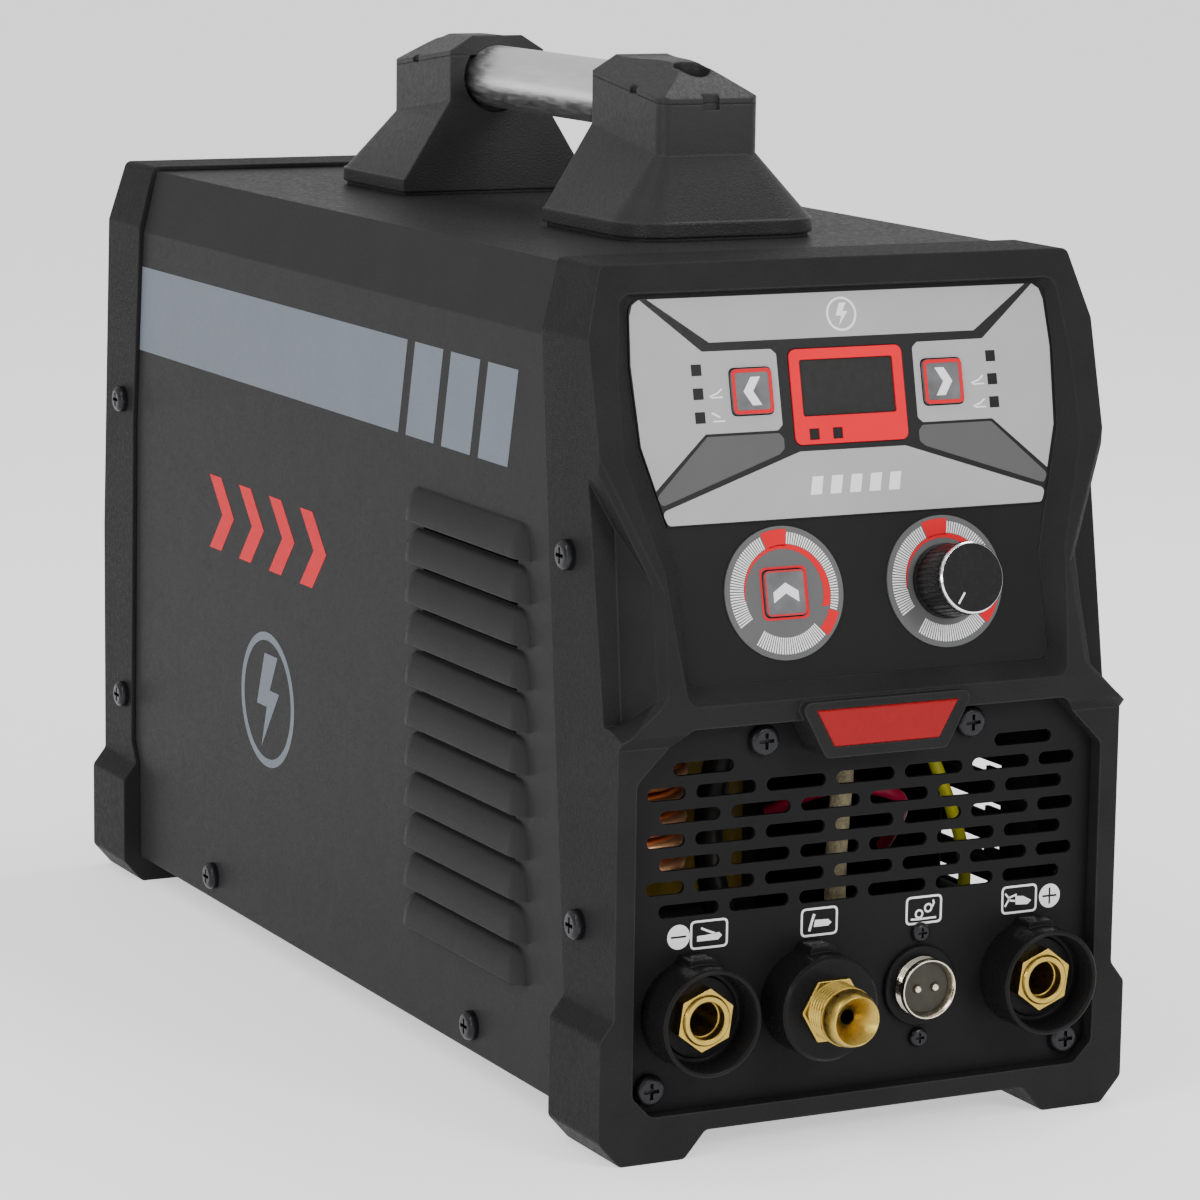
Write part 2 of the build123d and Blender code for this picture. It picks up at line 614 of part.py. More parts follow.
PANEL_SCREW = pan_head_screw(head_r=4.1, head_h=2.4, shank_r=1.85, shank_length=8.0)
with BuildPart() as panel_screws:
    with Locations(*[front_point(x, CONNECTOR_DEPTH - 0.02, z) for x, z in PANEL_SCREWS]):
        add(PANEL_SCREW)
finish(panel_screws, "panel_screws")

# ---- dinse sockets: moulded collar round a brass insert with a keyed bore ----
COLLAR_R = 13.8
COLLAR_FRONT = -8.6
CUP_R = 10.6
CUP_FLOOR = 1.5
INSERT_R = 6.9
INSERT_FRONT = -5.4
SOCKET_BORE_R = 4.55
SOCKET_BORE_LENGTH = 24.0
SOCKET_XS = [-SOCKET_X, SOCKET_X]

with BuildPart() as socket_collars:
    with BuildSketch(facing_front(CONNECTOR_DEPTH)):
        with Locations(*[(x, SOCKET_Z) for x in SOCKET_XS]):
            Circle(COLLAR_R)
    extrude(amount=CONNECTOR_DEPTH - COLLAR_FRONT)
    chamfer(socket_collars.faces().group_by(Axis.Y)[0].edges(), length=0.8)
    # locating lug on top of the collar
    with BuildSketch(facing_front(CONNECTOR_DEPTH)):
        with Locations(*[(x, SOCKET_Z + COLLAR_R - 0.6) for x in SOCKET_XS]):
            RectangleRounded(7.4, 4.2, 1.2)
    extrude(amount=CONNECTOR_DEPTH - COLLAR_FRONT - 5)
    # neck through the panel and nut behind it
    with BuildSketch(facing_front(CONNECTOR_DEPTH)):
        with Locations(*[(x, SOCKET_Z) for x in SOCKET_XS]):
            Circle(COLLAR_HOLE_R - 0.1)
    extrude(amount=-12)
    with BuildSketch(facing_front(CONNECTOR_DEPTH + SHEET)):
        with Locations(*[(x, SOCKET_Z) for x in SOCKET_XS]):
            RegularPolygon(13.2, 6, rotation=30)
    extrude(amount=-5)
    # cup round the insert, then the seat of the insert
    with BuildSketch(facing_front(CUP_FLOOR)):
        with Locations(*[(x, SOCKET_Z) for x in SOCKET_XS]):
            Circle(CUP_R)
    extrude(amount=20, mode=Mode.SUBTRACT)
    with BuildSketch(facing_front(CONNECTOR_DEPTH + 20)):
        with Locations(*[(x, SOCKET_Z) for x in SOCKET_XS]):
            Circle(INSERT_R)
    extrude(amount=40, mode=Mode.SUBTRACT)
finish(socket_collars, "socket_collars")

with BuildPart() as socket_inserts:
    places = [(x, SOCKET_Z) for x in SOCKET_XS]
    with BuildSketch(facing_front(INSERT_FRONT + SOCKET_BORE_LENGTH + 6)):
        with Locations(*places):
            Circle(INSERT_R)
    extrude(amount=SOCKET_BORE_LENGTH + 6)
    # hexagon behind the rim
    with BuildSketch(facing_front(CUP_FLOOR)):
        with Locations(*places):
            RegularPolygon(8.1, 6, rotation=0)
    extrude(amount=CUP_FLOOR - INSERT_FRONT - 2.2)
    with BuildSketch(facing_front(INSERT_FRONT)):
        with Locations(*places):
            Circle(SOCKET_BORE_R)
    extrude(amount=-SOCKET_BORE_LENGTH, mode=Mode.SUBTRACT)
    # key groove at the mouth
    with BuildSketch(facing_front(INSERT_FRONT)):
        with Locations(*[(x, SOCKET_Z + SOCKET_BORE_R) for x in SOCKET_XS]):
            Rectangle(2.0, 2.0)
    extrude(amount=-5, mode=Mode.SUBTRACT)
finish(socket_inserts, "socket_inserts")

# ---- torch connector: collar, brass hexagon and male thread with a gas way ----
TORCH_COLLAR_FRONT = -8.0
HEX_FRONT = -11.5
TORCH_TIP = -19.0
TORCH_THREAD_R = 7.0
GAS_WAY_R = 1.6

with BuildPart() as torch_collar:
    with BuildSketch(front_point(TORCH_X, CONNECTOR_DEPTH, SOCKET_Z)):
        Circle(COLLAR_R)
    extrude(amount=CONNECTOR_DEPTH - TORCH_COLLAR_FRONT)
    chamfer(torch_collar.faces().group_by(Axis.Y)[0].edges(), length=0.8)
    with BuildSketch(front_point(TORCH_X, CONNECTOR_DEPTH, SOCKET_Z)):
        with Locations((0, COLLAR_R - 0.6)):
            RectangleRounded(7.4, 4.2, 1.2)
    extrude(amount=7.5)
    with BuildSketch(front_point(TORCH_X, CONNECTOR_DEPTH, SOCKET_Z)):
        Circle(COLLAR_HOLE_R - 0.1)
    extrude(amount=-12)
    with BuildSketch(front_point(TORCH_X, CONNECTOR_DEPTH + SHEET, SOCKET_Z)):
        RegularPolygon(13.2, 6, rotation=30)
    extrude(amount=-5)
    with BuildSketch(front_point(TORCH_X, 40, SOCKET_Z)):
        Circle(INSERT_R)
    extrude(amount=60, mode=Mode.SUBTRACT)
finish(torch_collar, "torch_collar")

with BuildPart() as torch_connector:
    with BuildSketch(front_point(TORCH_X, 24, SOCKET_Z)):
        Circle(INSERT_R)
    extrude(amount=24 - TORCH_COLLAR_FRONT)
    with BuildSketch(front_point(TORCH_X, TORCH_COLLAR_FRONT, SOCKET_Z)):
        RegularPolygon(9.2, 6, rotation=0)
    extrude(amount=TORCH_COLLAR_FRONT - HEX_FRONT)
    with BuildSketch(front_point(TORCH_X, HEX_FRONT, SOCKET_Z)):
        Circle(TORCH_THREAD_R)
    extrude(amount=HEX_FRONT - TORCH_TIP)
    # conical mouth and gas way
    with Locations(front_point(TORCH_X, TORCH_TIP, SOCKET_Z)):
        CounterSinkHole(GAS_WAY_R, 5.4, counter_sink_angle=90)
finish(torch_connector, "torch_connector")

# ---- control socket: threaded ring, insulator, two pins, two screws ----
RING_R = 8.0
RING_FRONT = -1.4
with BuildPart() as control_socket:
    with BuildSketch(front_point(CONTROL_SOCKET_X, CONNECTOR_DEPTH, SOCKET_Z)):
        Circle(10.6)
    extrude(amount=1.6)
    with BuildSketch(front_point(CONTROL_SOCKET_X, CONNECTOR_DEPTH + 10, SOCKET_Z)):
        Circle(RING_R)
    extrude(amount=CONNECTOR_DEPTH + 10 - RING_FRONT)
    with BuildSketch(front_point(CONTROL_SOCKET_X, RING_FRONT, SOCKET_Z)):
        Circle(6.7)
    extrude(amount=-30, mode=Mode.SUBTRACT)
finish(control_socket, "control_socket")

INSULATOR_FRONT = 0.8
CONTROL_PIN_XS = [CONTROL_SOCKET_X - 2.6, CONTROL_SOCKET_X + 2.6]
with BuildPart() as control_insulator:
    with BuildSketch(front_point(CONTROL_SOCKET_X, INSULATOR_FRONT, SOCKET_Z)):
        Circle(6.65)
        with Locations((-2.6, 0), (2.6, 0)):
            Circle(1.05, mode=Mode.SUBTRACT)
    extrude(amount=-11)
finish(control_insulator, "control_insulator")

with BuildPart() as control_pins:
    for x in CONTROL_PIN_XS:
        with BuildSketch(front_point(x, 16, SOCKET_Z)):
            Circle(1.0)
        extrude(amount=16.4)
    fillet(control_pins.faces().group_by(Axis.Y)[0].edges(), radius=0.6)
finish(control_pins, "control_pins")

CONTROL_SCREW = pan_head_screw(head_r=2.6, head_h=1.7, shank_r=1.3, shank_length=6.0)
with BuildPart() as control_socket_screws:
    with Locations(*[front_point(x, CONNECTOR_DEPTH - 0.02, z) for x, z in CONTROL_SCREWS]):
        add(CONTROL_SCREW)
finish(control_socket_screws, "control_socket_screws")

# ---- carrying handle ----
COLUMN_HALF = 15.0
COLUMN_OUTER = 94.8            # depths of the front bracket; the rear one is its mirror image
HAND_FACE = 136.0              # flat face on the tube's side, from the plinth to the cap
PLINTH_HALF = 29.8
PLINTH_OUTER = 82.3
PLINTH_BOTTOM = COVER_TOP + 1.2
PLINTH_TOP = 228.6
FLARE_OUTER_Z = 245.2          # the flare ends on a slant, like the seam
FLARE_HAND_Z = 251.2
SEAM_OUTER_Z = 258.8
SEAM_HAND_Z = 264.2
SEAM_SLOPE = (SEAM_HAND_Z - SEAM_OUTER_Z) / (HAND_FACE - COLUMN_OUTER)
SEAM_GAP = 0.05
CAP_RIM = 1.4                  # upright edge of the cap above the seam
CAP_RISE = 9.0                 # height of the cap's sloping sides at the ridge
CAP_TOP = 269.9
TUBE_END = 113.0
CAP_SCREW_DEPTH = 106.5


def seam_z(d):
    """Height of the seam between bracket and cap at depth d."""
    return SEAM_OUTER_Z + SEAM_SLOPE * (d - COLUMN_OUTER)


def bracket_outline(plane, half, length, radius):
    """Outline seen from above, with wide corners at its outer end."""
    with BuildSketch(plane) as outline:
        Rectangle(2 * half, length)
        fillet(outline.vertices().group_by(Axis.Y)[0], radius=radius)
    return outline.sketch


def level_outline(z, half, outer, radius, hand=HAND_FACE):
    """Level outline of the bracket between two depths."""
    return bracket_outline(Plane(origin=(0, depth((outer + hand) / 2), z)), half, hand - outer, radius)


def column_outline():
    """Outline of the column on the slant where the flare ends."""
    run = HAND_FACE - COLUMN_OUTER
    rise = FLARE_HAND_Z - FLARE_OUTER_Z
    length = (run ** 2 + rise ** 2) ** 0.5
    origin = (0, depth((COLUMN_OUTER + HAND_FACE) / 2), (FLARE_OUTER_Z + FLARE_HAND_Z) / 2)
    slant = Plane(origin=origin, x_dir=(1, 0, 0), z_dir=(0, -rise / length, run / length))
    return bracket_outline(slant, COLUMN_HALF, length, 3.5)


with BuildPart() as seam_notches:
    # small notches for prising the cap off, in front and on both sides
    with BuildSketch(front_point(0, COLUMN_OUTER - 1, 259.45)):
        Rectangle(5.0, 4.3)
    extrude(amount=-2.4)
    for side in (-1, 1):
        with BuildSketch(side_point(side, COLUMN_HALF + 1, 111.5, 262.3)):
            Rectangle(4.0, 2.8)
        extrude(amount=-2.2)


def bracket_body():
    """Front bracket: plinth, flared foot, column and half of the tube's seat."""
    with BuildPart() as bracket:
        extrude(level_outline(COVER_TOP, PLINTH_HALF - 1, PLINTH_OUTER + 1, 12, HAND_FACE - 1),
                amount=PLINTH_BOTTOM - COVER_TOP)
        extrude(level_outline(PLINTH_BOTTOM, PLINTH_HALF, PLINTH_OUTER, 13), amount=PLINTH_TOP - PLINTH_BOTTOM)
        column = column_outline()
        loft([level_outline(PLINTH_TOP, PLINTH_HALF - 0.5, PLINTH_OUTER + 0.6, 12.6), column], ruled=True)
        extrude(column, amount=CAP_TOP - FLARE_OUTER_Z, dir=(0, 0, 1))
        with BuildSketch(Plane.YZ):
            Polygon((depth(60), CAP_TOP + 12), (depth(60), seam_z(60)), (depth(160), seam_z(160)),
                    (depth(160), CAP_TOP + 12), align=None)
        extrude(amount=60, both=True, mode=Mode.SUBTRACT)
        with BuildSketch(Plane(origin=(0, depth(TUBE_END), TUBE_Z), x_dir=(1, 0, 0), z_dir=(0, 1, 0))):
            Circle(TUBE_R)
        extrude(amount=60, mode=Mode.SUBTRACT)
        with BuildSketch(Plane(origin=(0, depth(HAND_FACE - 3.5), TUBE_Z), x_dir=(1, 0, 0), z_dir=(0, 1, 0))):
            Circle(TUBE_R + 1.5)
        extrude(amount=20, mode=Mode.SUBTRACT)
        add(seam_notches.part, mode=Mode.SUBTRACT)
        with BuildSketch(Plane.XY.offset(COVER_TOP)):
            with Locations(*HANDLE_SCREW_PLACES[:4]):
                Circle(2.5)
        extrude(amount=9, mode=Mode.SUBTRACT)
        with BuildSketch(Plane.XY.offset(CAP_TOP)):
            with Locations((0, depth(CAP_SCREW_DEPTH))):
                Circle(1.8)
        extrude(amount=-24, mode=Mode.SUBTRACT)
    return bracket.part


def bracket_cap():
    """Cap that closes the front bracket over the tube, with a roof that follows the seam's slant."""
    with BuildPart() as cap:
        extrude(column_outline(), amount=CAP_TOP - FLARE_OUTER_Z, dir=(0, 0, 1))
        rim_z = seam_z(HAND_FACE + 2) + CAP_RIM
        half = [(COLUMN_HALF + 1, 240), (COLUMN_HALF + 1, rim_z - CAP_RISE / COLUMN_HALF), (0, rim_z + CAP_RISE)]
        with BuildSketch(facing_front(HAND_FACE + 2)):
            Polygon(*half, *[(-x, z) for x, z in reversed(half[:2])], align=None)
        run = HAND_FACE - COLUMN_OUTER + 4
        extrude(amount=run * (1 + SEAM_SLOPE ** 2) ** 0.5, dir=(0, -1, -SEAM_SLOPE), mode=Mode.INTERSECT)
        with BuildSketch(Plane.YZ):
            with BuildLine():
                outer = depth(COLUMN_OUTER)
                hand = depth(HAND_FACE)
                Line((outer, SEAM_OUTER_Z + SEAM_GAP), (outer, SEAM_OUTER_Z + 1.5))
                Spline((outer, SEAM_OUTER_Z + 1.5), (depth(98), 263.0), (depth(103), 266.6),
                       (depth(120), 269.4), (hand, CAP_TOP))
                Line((hand, CAP_TOP), (hand, SEAM_HAND_Z + SEAM_GAP))
                Line((hand, SEAM_HAND_Z + SEAM_GAP), (outer, SEAM_OUTER_Z + SEAM_GAP))
            make_face()
        extrude(amount=60, both=True, mode=Mode.INTERSECT)
        with BuildSketch(Plane(origin=(0, depth(TUBE_END), TUBE_Z), x_dir=(1, 0, 0), z_dir=(0, 1, 0))):
            Circle(TUBE_R)
        extrude(amount=60, mode=Mode.SUBTRACT)
        add(seam_notches.part, mode=Mode.SUBTRACT)
        with BuildSketch(Plane.XY.offset(SEAM_OUTER_Z + 3.4)):
            with Locations((0, depth(CAP_SCREW_DEPTH))):
                Circle(5.0)
        extrude(amount=20, mode=Mode.SUBTRACT)
        with BuildSketch(Plane.XY.offset(CAP_TOP)):
            with Locations((0, depth(CAP_SCREW_DEPTH))):
                Circle(1.9)
        extrude(amount=-24, mode=Mode.SUBTRACT)
    return cap.part


HANDLE_MIRROR = Plane.XZ.offset(-depth(HANDLE_MID))

with BuildPart() as front_handle_bracket:
    add(bracket_body())
finish(front_handle_bracket, "front_handle_bracket")

with BuildPart() as rear_handle_bracket:
    mirror(bracket_body(), about=HANDLE_MIRROR)
finish(rear_handle_bracket, "rear_handle_bracket")

with BuildPart() as front_handle_cap:
    add(bracket_cap())
finish(front_handle_cap, "front_handle_cap")

with BuildPart() as rear_handle_cap:
    mirror(bracket_cap(), about=HANDLE_MIRROR)
finish(rear_handle_cap, "rear_handle_cap")

with BuildPart() as handle_tube:
    with BuildSketch(facing_front(2 * HANDLE_MID - TUBE_END)):
        with Locations((0, TUBE_Z)):
            Circle(TUBE_R)
            Circle(TUBE_R - 1.5, mode=Mode.SUBTRACT)
    extrude(amount=2 * (HANDLE_MID - TUBE_END))
finish(handle_tube, "handle_tube")

CAP_SCREW = pan_head_screw(head_r=3.6, head_h=2.4, shank_r=1.75, shank_length=12.0)
FOOT_SCREW = pan_head_screw(head_r=4.2, head_h=2.6, shank_r=2.5, shank_length=10.0)
with BuildPart() as handle_screws:
    cap_places = [(0, depth(CAP_SCREW_DEPTH)), (0, depth(2 * HANDLE_MID - CAP_SCREW_DEPTH))]
    with Locations(*[(x, y, SEAM_OUTER_Z + 3.42) for x, y in cap_places]):
        add(CAP_SCREW)
    under = COVER_TOP - SHEET - 0.02
    with Locations(*[Plane(origin=(x, y, under), x_dir=(1, 0, 0), z_dir=(0, 0, -1))
                     for x, y in HANDLE_SCREW_PLACES]):
        add(FOOT_SCREW)
finish(handle_screws, "handle_screws")

# ---- rear panel with fan, switch, cable gland and gas inlet ----
FAN_HOLE_PITCH = 82.5
FAN_HOLES = [(x * FAN_HOLE_PITCH / 2, FAN_Z + z * FAN_HOLE_PITCH / 2) for x in (-1, 1) for z in (-1, 1)]
REAR_SCREWS = [(-58, 22), (58, 22), (-57, 200), (57, 200)]
SWITCH_HOLE = (21.4, 28.8)
GLAND_HOLE_R = 8.0
GAS_HOLE_R = 6.5
INNER_FACE = REAR_PANEL_DEPTH - SHEET

with BuildPart() as rear_panel:
    with BuildSketch(facing_front(REAR_PANEL_DEPTH)):
        Polygon(*mirrored([(71.2, 10.2), (71.2, 204.8), (66.2, 222.4)]), align=None)
        with Locations((0, FAN_Z)):
            Circle(43.5, mode=Mode.SUBTRACT)
        with Locations(*FAN_HOLES, *REAR_SCREWS):
            Circle(2.1, mode=Mode.SUBTRACT)
        with Locations((SWITCH_X, SWITCH_Z)):
            Rectangle(*SWITCH_HOLE, mode=Mode.SUBTRACT)
        with Locations((GLAND_X, GLAND_Z)):
            Circle(GLAND_HOLE_R, mode=Mode.SUBTRACT)
        with Locations((GAS_X, GAS_Z)):
            Circle(GAS_HOLE_R, mode=Mode.SUBTRACT)
    extrude(amount=SHEET)
finish(rear_panel, "rear_panel")

REAR_SCREW = pan_head_screw(head_r=4.0, head_h=2.5, shank_r=2.05, shank_length=8.0)
with BuildPart() as rear_panel_screws:
    with Locations(*[back_point(x, REAR_PANEL_DEPTH + 0.02, z) for x, z in REAR_SCREWS]):
        add(REAR_SCREW)
finish(rear_panel_screws, "rear_panel_screws")

# ---- axial fan ----
FAN_DEPTH = 25.0
FAN_BACK = INNER_FACE - 0.05
FAN_FRONT = FAN_BACK - FAN_DEPTH
FAN_BORE_R = 44.5
HUB_R = 18.5
FAN_SHAFT_R = 1.5
BLADES = 7
BLADE_MID = FAN_FRONT + 10.5

with BuildPart() as fan_frame:
    with BuildSketch(facing_front(FAN_BACK)):
        with Locations((0, FAN_Z)):
            RectangleRounded(FAN_SIZE, FAN_SIZE, 4)
            Circle(FAN_BORE_R, mode=Mode.SUBTRACT)
        with Locations(*FAN_HOLES):
            Circle(2.2, mode=Mode.SUBTRACT)
    extrude(amount=FAN_DEPTH)
    # motor plate on four struts, with the bearing tube
    with BuildSketch(facing_front(FAN_BACK)):
        with Locations((0, FAN_Z)):
            Circle(18)
            Rectangle(FAN_SIZE - 2, 5)
            Rectangle(5, FAN_SIZE - 2)
    extrude(amount=2.5)
    with BuildSketch(facing_front(FAN_BACK)):
        with Locations((0, FAN_Z)):
            Circle(4)
    extrude(amount=14)
    with BuildSketch(facing_front(FAN_BACK + 1)):
        with Locations((0, FAN_Z)):
            Circle(FAN_SHAFT_R + 0.05)
    extrude(amount=20, mode=Mode.SUBTRACT)
finish(fan_frame, "fan_frame")


def blade_section(angle, radius, chord, thickness, pitch):
    """Thin section of one blade at a radius; pitch is measured from the plane of rotation."""
    a = radians(angle)
    p = radians(pitch)
    origin = (radius * cos(a), depth(BLADE_MID), FAN_Z + radius * sin(a))
    x_dir = (-sin(a) * cos(p), sin(p), cos(a) * cos(p))
    with BuildSketch(Plane(origin=origin, x_dir=x_dir, z_dir=(cos(a), 0, sin(a)))) as section:
        Rectangle(chord, thickness)
    return section.sketch


with BuildPart() as fan_rotor:
    with BuildSketch(facing_front(FAN_BACK - 5)):
        with Locations((0, FAN_Z)):
            Circle(HUB_R)
    extrude(amount=FAN_DEPTH - 7)
    with BuildSketch(facing_front(FAN_BACK - 5)):
        with Locations((0, FAN_Z)):
            Circle(HUB_R - 2)
    extrude(amount=FAN_DEPTH - 9, mode=Mode.SUBTRACT)
    with BuildSketch(facing_front(FAN_BACK - 1)):
        with Locations((0, FAN_Z)):
            Circle(FAN_SHAFT_R)
    extrude(amount=FAN_DEPTH - 4)
    for number in range(BLADES):
        turn = number * 360 / BLADES
        loft([blade_section(turn, HUB_R - 1, 20, 1.8, 46), blade_section(turn, 41.5, 27, 1.4, 31)])
finish(fan_rotor, "fan_rotor")

GUARD_WIRE_R = 0.85
GUARD_DEPTH = REAR_PANEL_DEPTH + 0.2
with BuildPart() as fan_guard:
    with BuildSketch(facing_back(GUARD_DEPTH)):
        with Locations((0, FAN_Z)):
            for radius in (41, 33, 25, 17, 9):
                Circle(radius + GUARD_WIRE_R)
                Circle(radius - GUARD_WIRE_R, mode=Mode.SUBTRACT)
        for angle in (45, 135):
            with Locations((0, FAN_Z)):
                Rectangle(FAN_HOLE_PITCH * 2 ** 0.5, 2 * GUARD_WIRE_R, rotation=angle)
        with Locations(*FAN_HOLES):
            Circle(4.4)
        with Locations(*FAN_HOLES):
            Circle(2.3, mode=Mode.SUBTRACT)
    extrude(amount=2 * GUARD_WIRE_R)
finish(fan_guard, "fan_guard")

FAN_SCREW = pan_head_screw(head_r=3.8, head_h=2.3, shank_r=2.05, shank_length=14.0)
with BuildPart() as fan_screws:
    with Locations(*[back_point(x, GUARD_DEPTH + 2 * GUARD_WIRE_R + 0.02, z) for x, z in FAN_HOLES]):
        add(FAN_SCREW)
finish(fan_screws, "fan_screws")

# ---- mains switch ----
ROCKER_HALF_WIDTH = 8.2
ROCKER_PIVOT_DEPTH = 348.0
ROCKER_TILT = 11.0
PIVOT_R = 1.2
with BuildPart() as switch_housing:
    with BuildSketch(back_point(SWITCH_X, REAR_PANEL_DEPTH, SWITCH_Z)):
        RectangleRounded(25.5, 33, 1.5)
    extrude(amount=2.0)
    chamfer(switch_housing.faces().sort_by(Axis.Y)[-1].edges(), length=0.6)
    with BuildSketch(back_point(SWITCH_X, REAR_PANEL_DEPTH, SWITCH_Z)):
        Rectangle(SWITCH_HOLE[0] - 0.2, SWITCH_HOLE[1] - 0.2)
    extrude(amount=-22)
    with BuildSketch(back_point(SWITCH_X, REAR_PANEL_DEPTH + 2, SWITCH_Z)):
        Rectangle(2 * ROCKER_HALF_WIDTH + 0.6, 25.2)
    extrude(amount=-14, mode=Mode.SUBTRACT)
    with BuildSketch(Plane.YZ.offset(SWITCH_X - ROCKER_HALF_WIDTH - 1.5)):
        with Locations((depth(ROCKER_PIVOT_DEPTH), SWITCH_Z)):
            Circle(PIVOT_R + 0.05)
    extrude(amount=2 * ROCKER_HALF_WIDTH + 3, mode=Mode.SUBTRACT)
    # spade terminals
    for x in (-5, 5):
        for z in (-9, 0, 9):
            with BuildSketch(back_point(SWITCH_X + x, REAR_PANEL_DEPTH - 22, SWITCH_Z + z)):
                Rectangle(0.8, 6.3)
            extrude(amount=-8)
finish(switch_housing, "switch_housing")

with BuildPart() as switch_rocker:
    pivot = Plane(origin=(SWITCH_X, depth(ROCKER_PIVOT_DEPTH), SWITCH_Z),
                  x_dir=(0, cos(radians(ROCKER_TILT)), -sin(radians(ROCKER_TILT))), z_dir=(1, 0, 0))
    with BuildSketch(pivot):
        with BuildLine():
            Line((-4, -8), (5.6, -11.2))
            ThreePointArc((5.6, -11.2), (3.6, -5.6), (3.0, 0))
            ThreePointArc((3.0, 0), (3.6, 5.6), (5.6, 11.2))
            Line((5.6, 11.2), (-4, 8))
            Line((-4, 8), (-4, -8))
        make_face()
    extrude(amount=ROCKER_HALF_WIDTH, both=True)
    with BuildSketch(pivot):
        Circle(PIVOT_R)
    extrude(amount=ROCKER_HALF_WIDTH + 1.4, both=True)
finish(switch_rocker, "switch_rocker")

# ---- cable gland ----
GLAND_TIP = LENGTH - TORCH_TIP       # the machine reaches as far behind as its torch connector in front
CABLE_R = 4.0
with BuildPart() as cable_gland:
    with BuildSketch(back_point(GLAND_X, REAR_PANEL_DEPTH, GLAND_Z)):
        RegularPolygon(12.4, 6, rotation=30)
    extrude(amount=5)
    with BuildSketch(back_point(GLAND_X, REAR_PANEL_DEPTH + 5, GLAND_Z)):
        Circle(10.2)
        with PolarLocations(10.4, 18):
            Circle(0.7, mode=Mode.SUBTRACT)
    extrude(amount=9)
    with BuildSketch(back_point(GLAND_X, REAR_PANEL_DEPTH + 14, GLAND_Z)):
        Circle(9.4)
    extrude(amount=GLAND_TIP - REAR_PANEL_DEPTH - 14, taper=13)
    with BuildSketch(back_point(GLAND_X, REAR_PANEL_DEPTH, GLAND_Z)):
        Circle(GLAND_HOLE_R - 0.1)
    extrude(amount=-12)
    with BuildSketch(back_point(GLAND_X, INNER_FACE, GLAND_Z)):
        RegularPolygon(12.0, 6, rotation=30)
    extrude(amount=-5)
    with BuildSketch(back_point(GLAND_X, GLAND_TIP + 1, GLAND_Z)):
        Circle(CABLE_R)
    extrude(amount=-60, mode=Mode.SUBTRACT)
finish(cable_gland, "cable_gland")

# ---- gas inlet: bulkhead hose tail ----
with BuildPart() as gas_inlet:
    with BuildSketch(back_point(GAS_X, REAR_PANEL_DEPTH, GAS_Z)):
        RegularPolygon(8.6, 6, rotation=30)
    extrude(amount=5)
    with BuildSketch(back_point(GAS_X, REAR_PANEL_DEPTH + 5, GAS_Z)):
        Circle(3.4)
    extrude(amount=GLAND_TIP - REAR_PANEL_DEPTH - 6)
    for barb in range(4):
        with BuildSketch(back_point(GAS_X, REAR_PANEL_DEPTH + 9 + barb * 4.4, GAS_Z)):
            Circle(4.4)
        extrude(amount=4.0, taper=14)
    with BuildSketch(back_point(GAS_X, REAR_PANEL_DEPTH, GAS_Z)):
        Circle(GAS_HOLE_R - 0.1)
    extrude(amount=-9)
    with BuildSketch(back_point(GAS_X, INNER_FACE, GAS_Z)):
        RegularPolygon(8.6, 6, rotation=30)
    extrude(amount=-3.5)
    with BuildSketch(back_point(GAS_X, GLAND_TIP + 1, GAS_Z)):
        Circle(2.1)
    extrude(amount=-60, mode=Mode.SUBTRACT)
finish(gas_inlet, "gas_inlet")

# ---- gas valve ----
VALVE_DEPTH = 300.0
VALVE_Z = 158.0
PLUNGER_R = 4.0
SLEEVE_R = 6.0
SLEEVE_TOP = VALVE_Z + 38
PLUNGER_BOTTOM = VALVE_Z + 4
PLUNGER_LENGTH = 26.0
with BuildPart() as valve_body:
    with BuildSketch(Plane.XY.offset(VALVE_Z - 6)):
        with Locations((GAS_X, depth(VALVE_DEPTH))):
            RectangleRounded(22, 26, 2)
    extrude(amount=18)
    with BuildSketch(Plane.XY.offset(VALVE_Z + 12)):
        with Locations((GAS_X, depth(VALVE_DEPTH))):
            Circle(SLEEVE_R)
    extrude(amount=SLEEVE_TOP - VALVE_Z - 12)
    with BuildSketch(Plane.XY.offset(PLUNGER_BOTTOM)):
        with Locations((GAS_X, depth(VALVE_DEPTH))):
            Circle(PLUNGER_R + 0.05)
    extrude(amount=PLUNGER_LENGTH + VALVE_TRAVEL + 0.4, mode=Mode.SUBTRACT)
finish(valve_body, "valve_body")

with BuildPart() as valve_coil:
    with BuildSketch(Plane.XY.offset(VALVE_Z + 12.1)):
        with Locations((GAS_X, depth(VALVE_DEPTH))):
            RectangleRounded(25, 28, 4)
            Circle(SLEEVE_R + 0.02, mode=Mode.SUBTRACT)
    extrude(amount=22)
finish(valve_coil, "valve_coil")

with BuildPart() as valve_plunger:
    with BuildSketch(Plane.XY.offset(PLUNGER_BOTTOM + 0.05)):
        with Locations((GAS_X, depth(VALVE_DEPTH))):
            Circle(PLUNGER_R)
    extrude(amount=PLUNGER_LENGTH)
finish(valve_plunger, "valve_plunger")


# ---- hoses and leads held inside ----
def lead(points, radius):
    """Round lead along straight runs joined by arcs as large as the runs allow."""
    stops = [Vector(x, depth(d), z) for x, d, z in points]
    radii = []
    for before, corner, after in zip(stops, stops[1:], stops[2:]):
        turn = radians((corner - before).get_angle(after - corner))
        run = min((corner - before).length, (after - corner).length)
        radii.append(0.45 * run / (sin(turn / 2) / cos(turn / 2)))
    with BuildPart() as tube:
        with BuildLine() as path:
            FilletPolyline(*stops, radius=radii)
        with BuildSketch(Plane(origin=path.line @ 0, z_dir=path.line % 0)) as ring:
            Circle(radius)
        sweep(ring.sketch, path=path.line)
    return tube.part


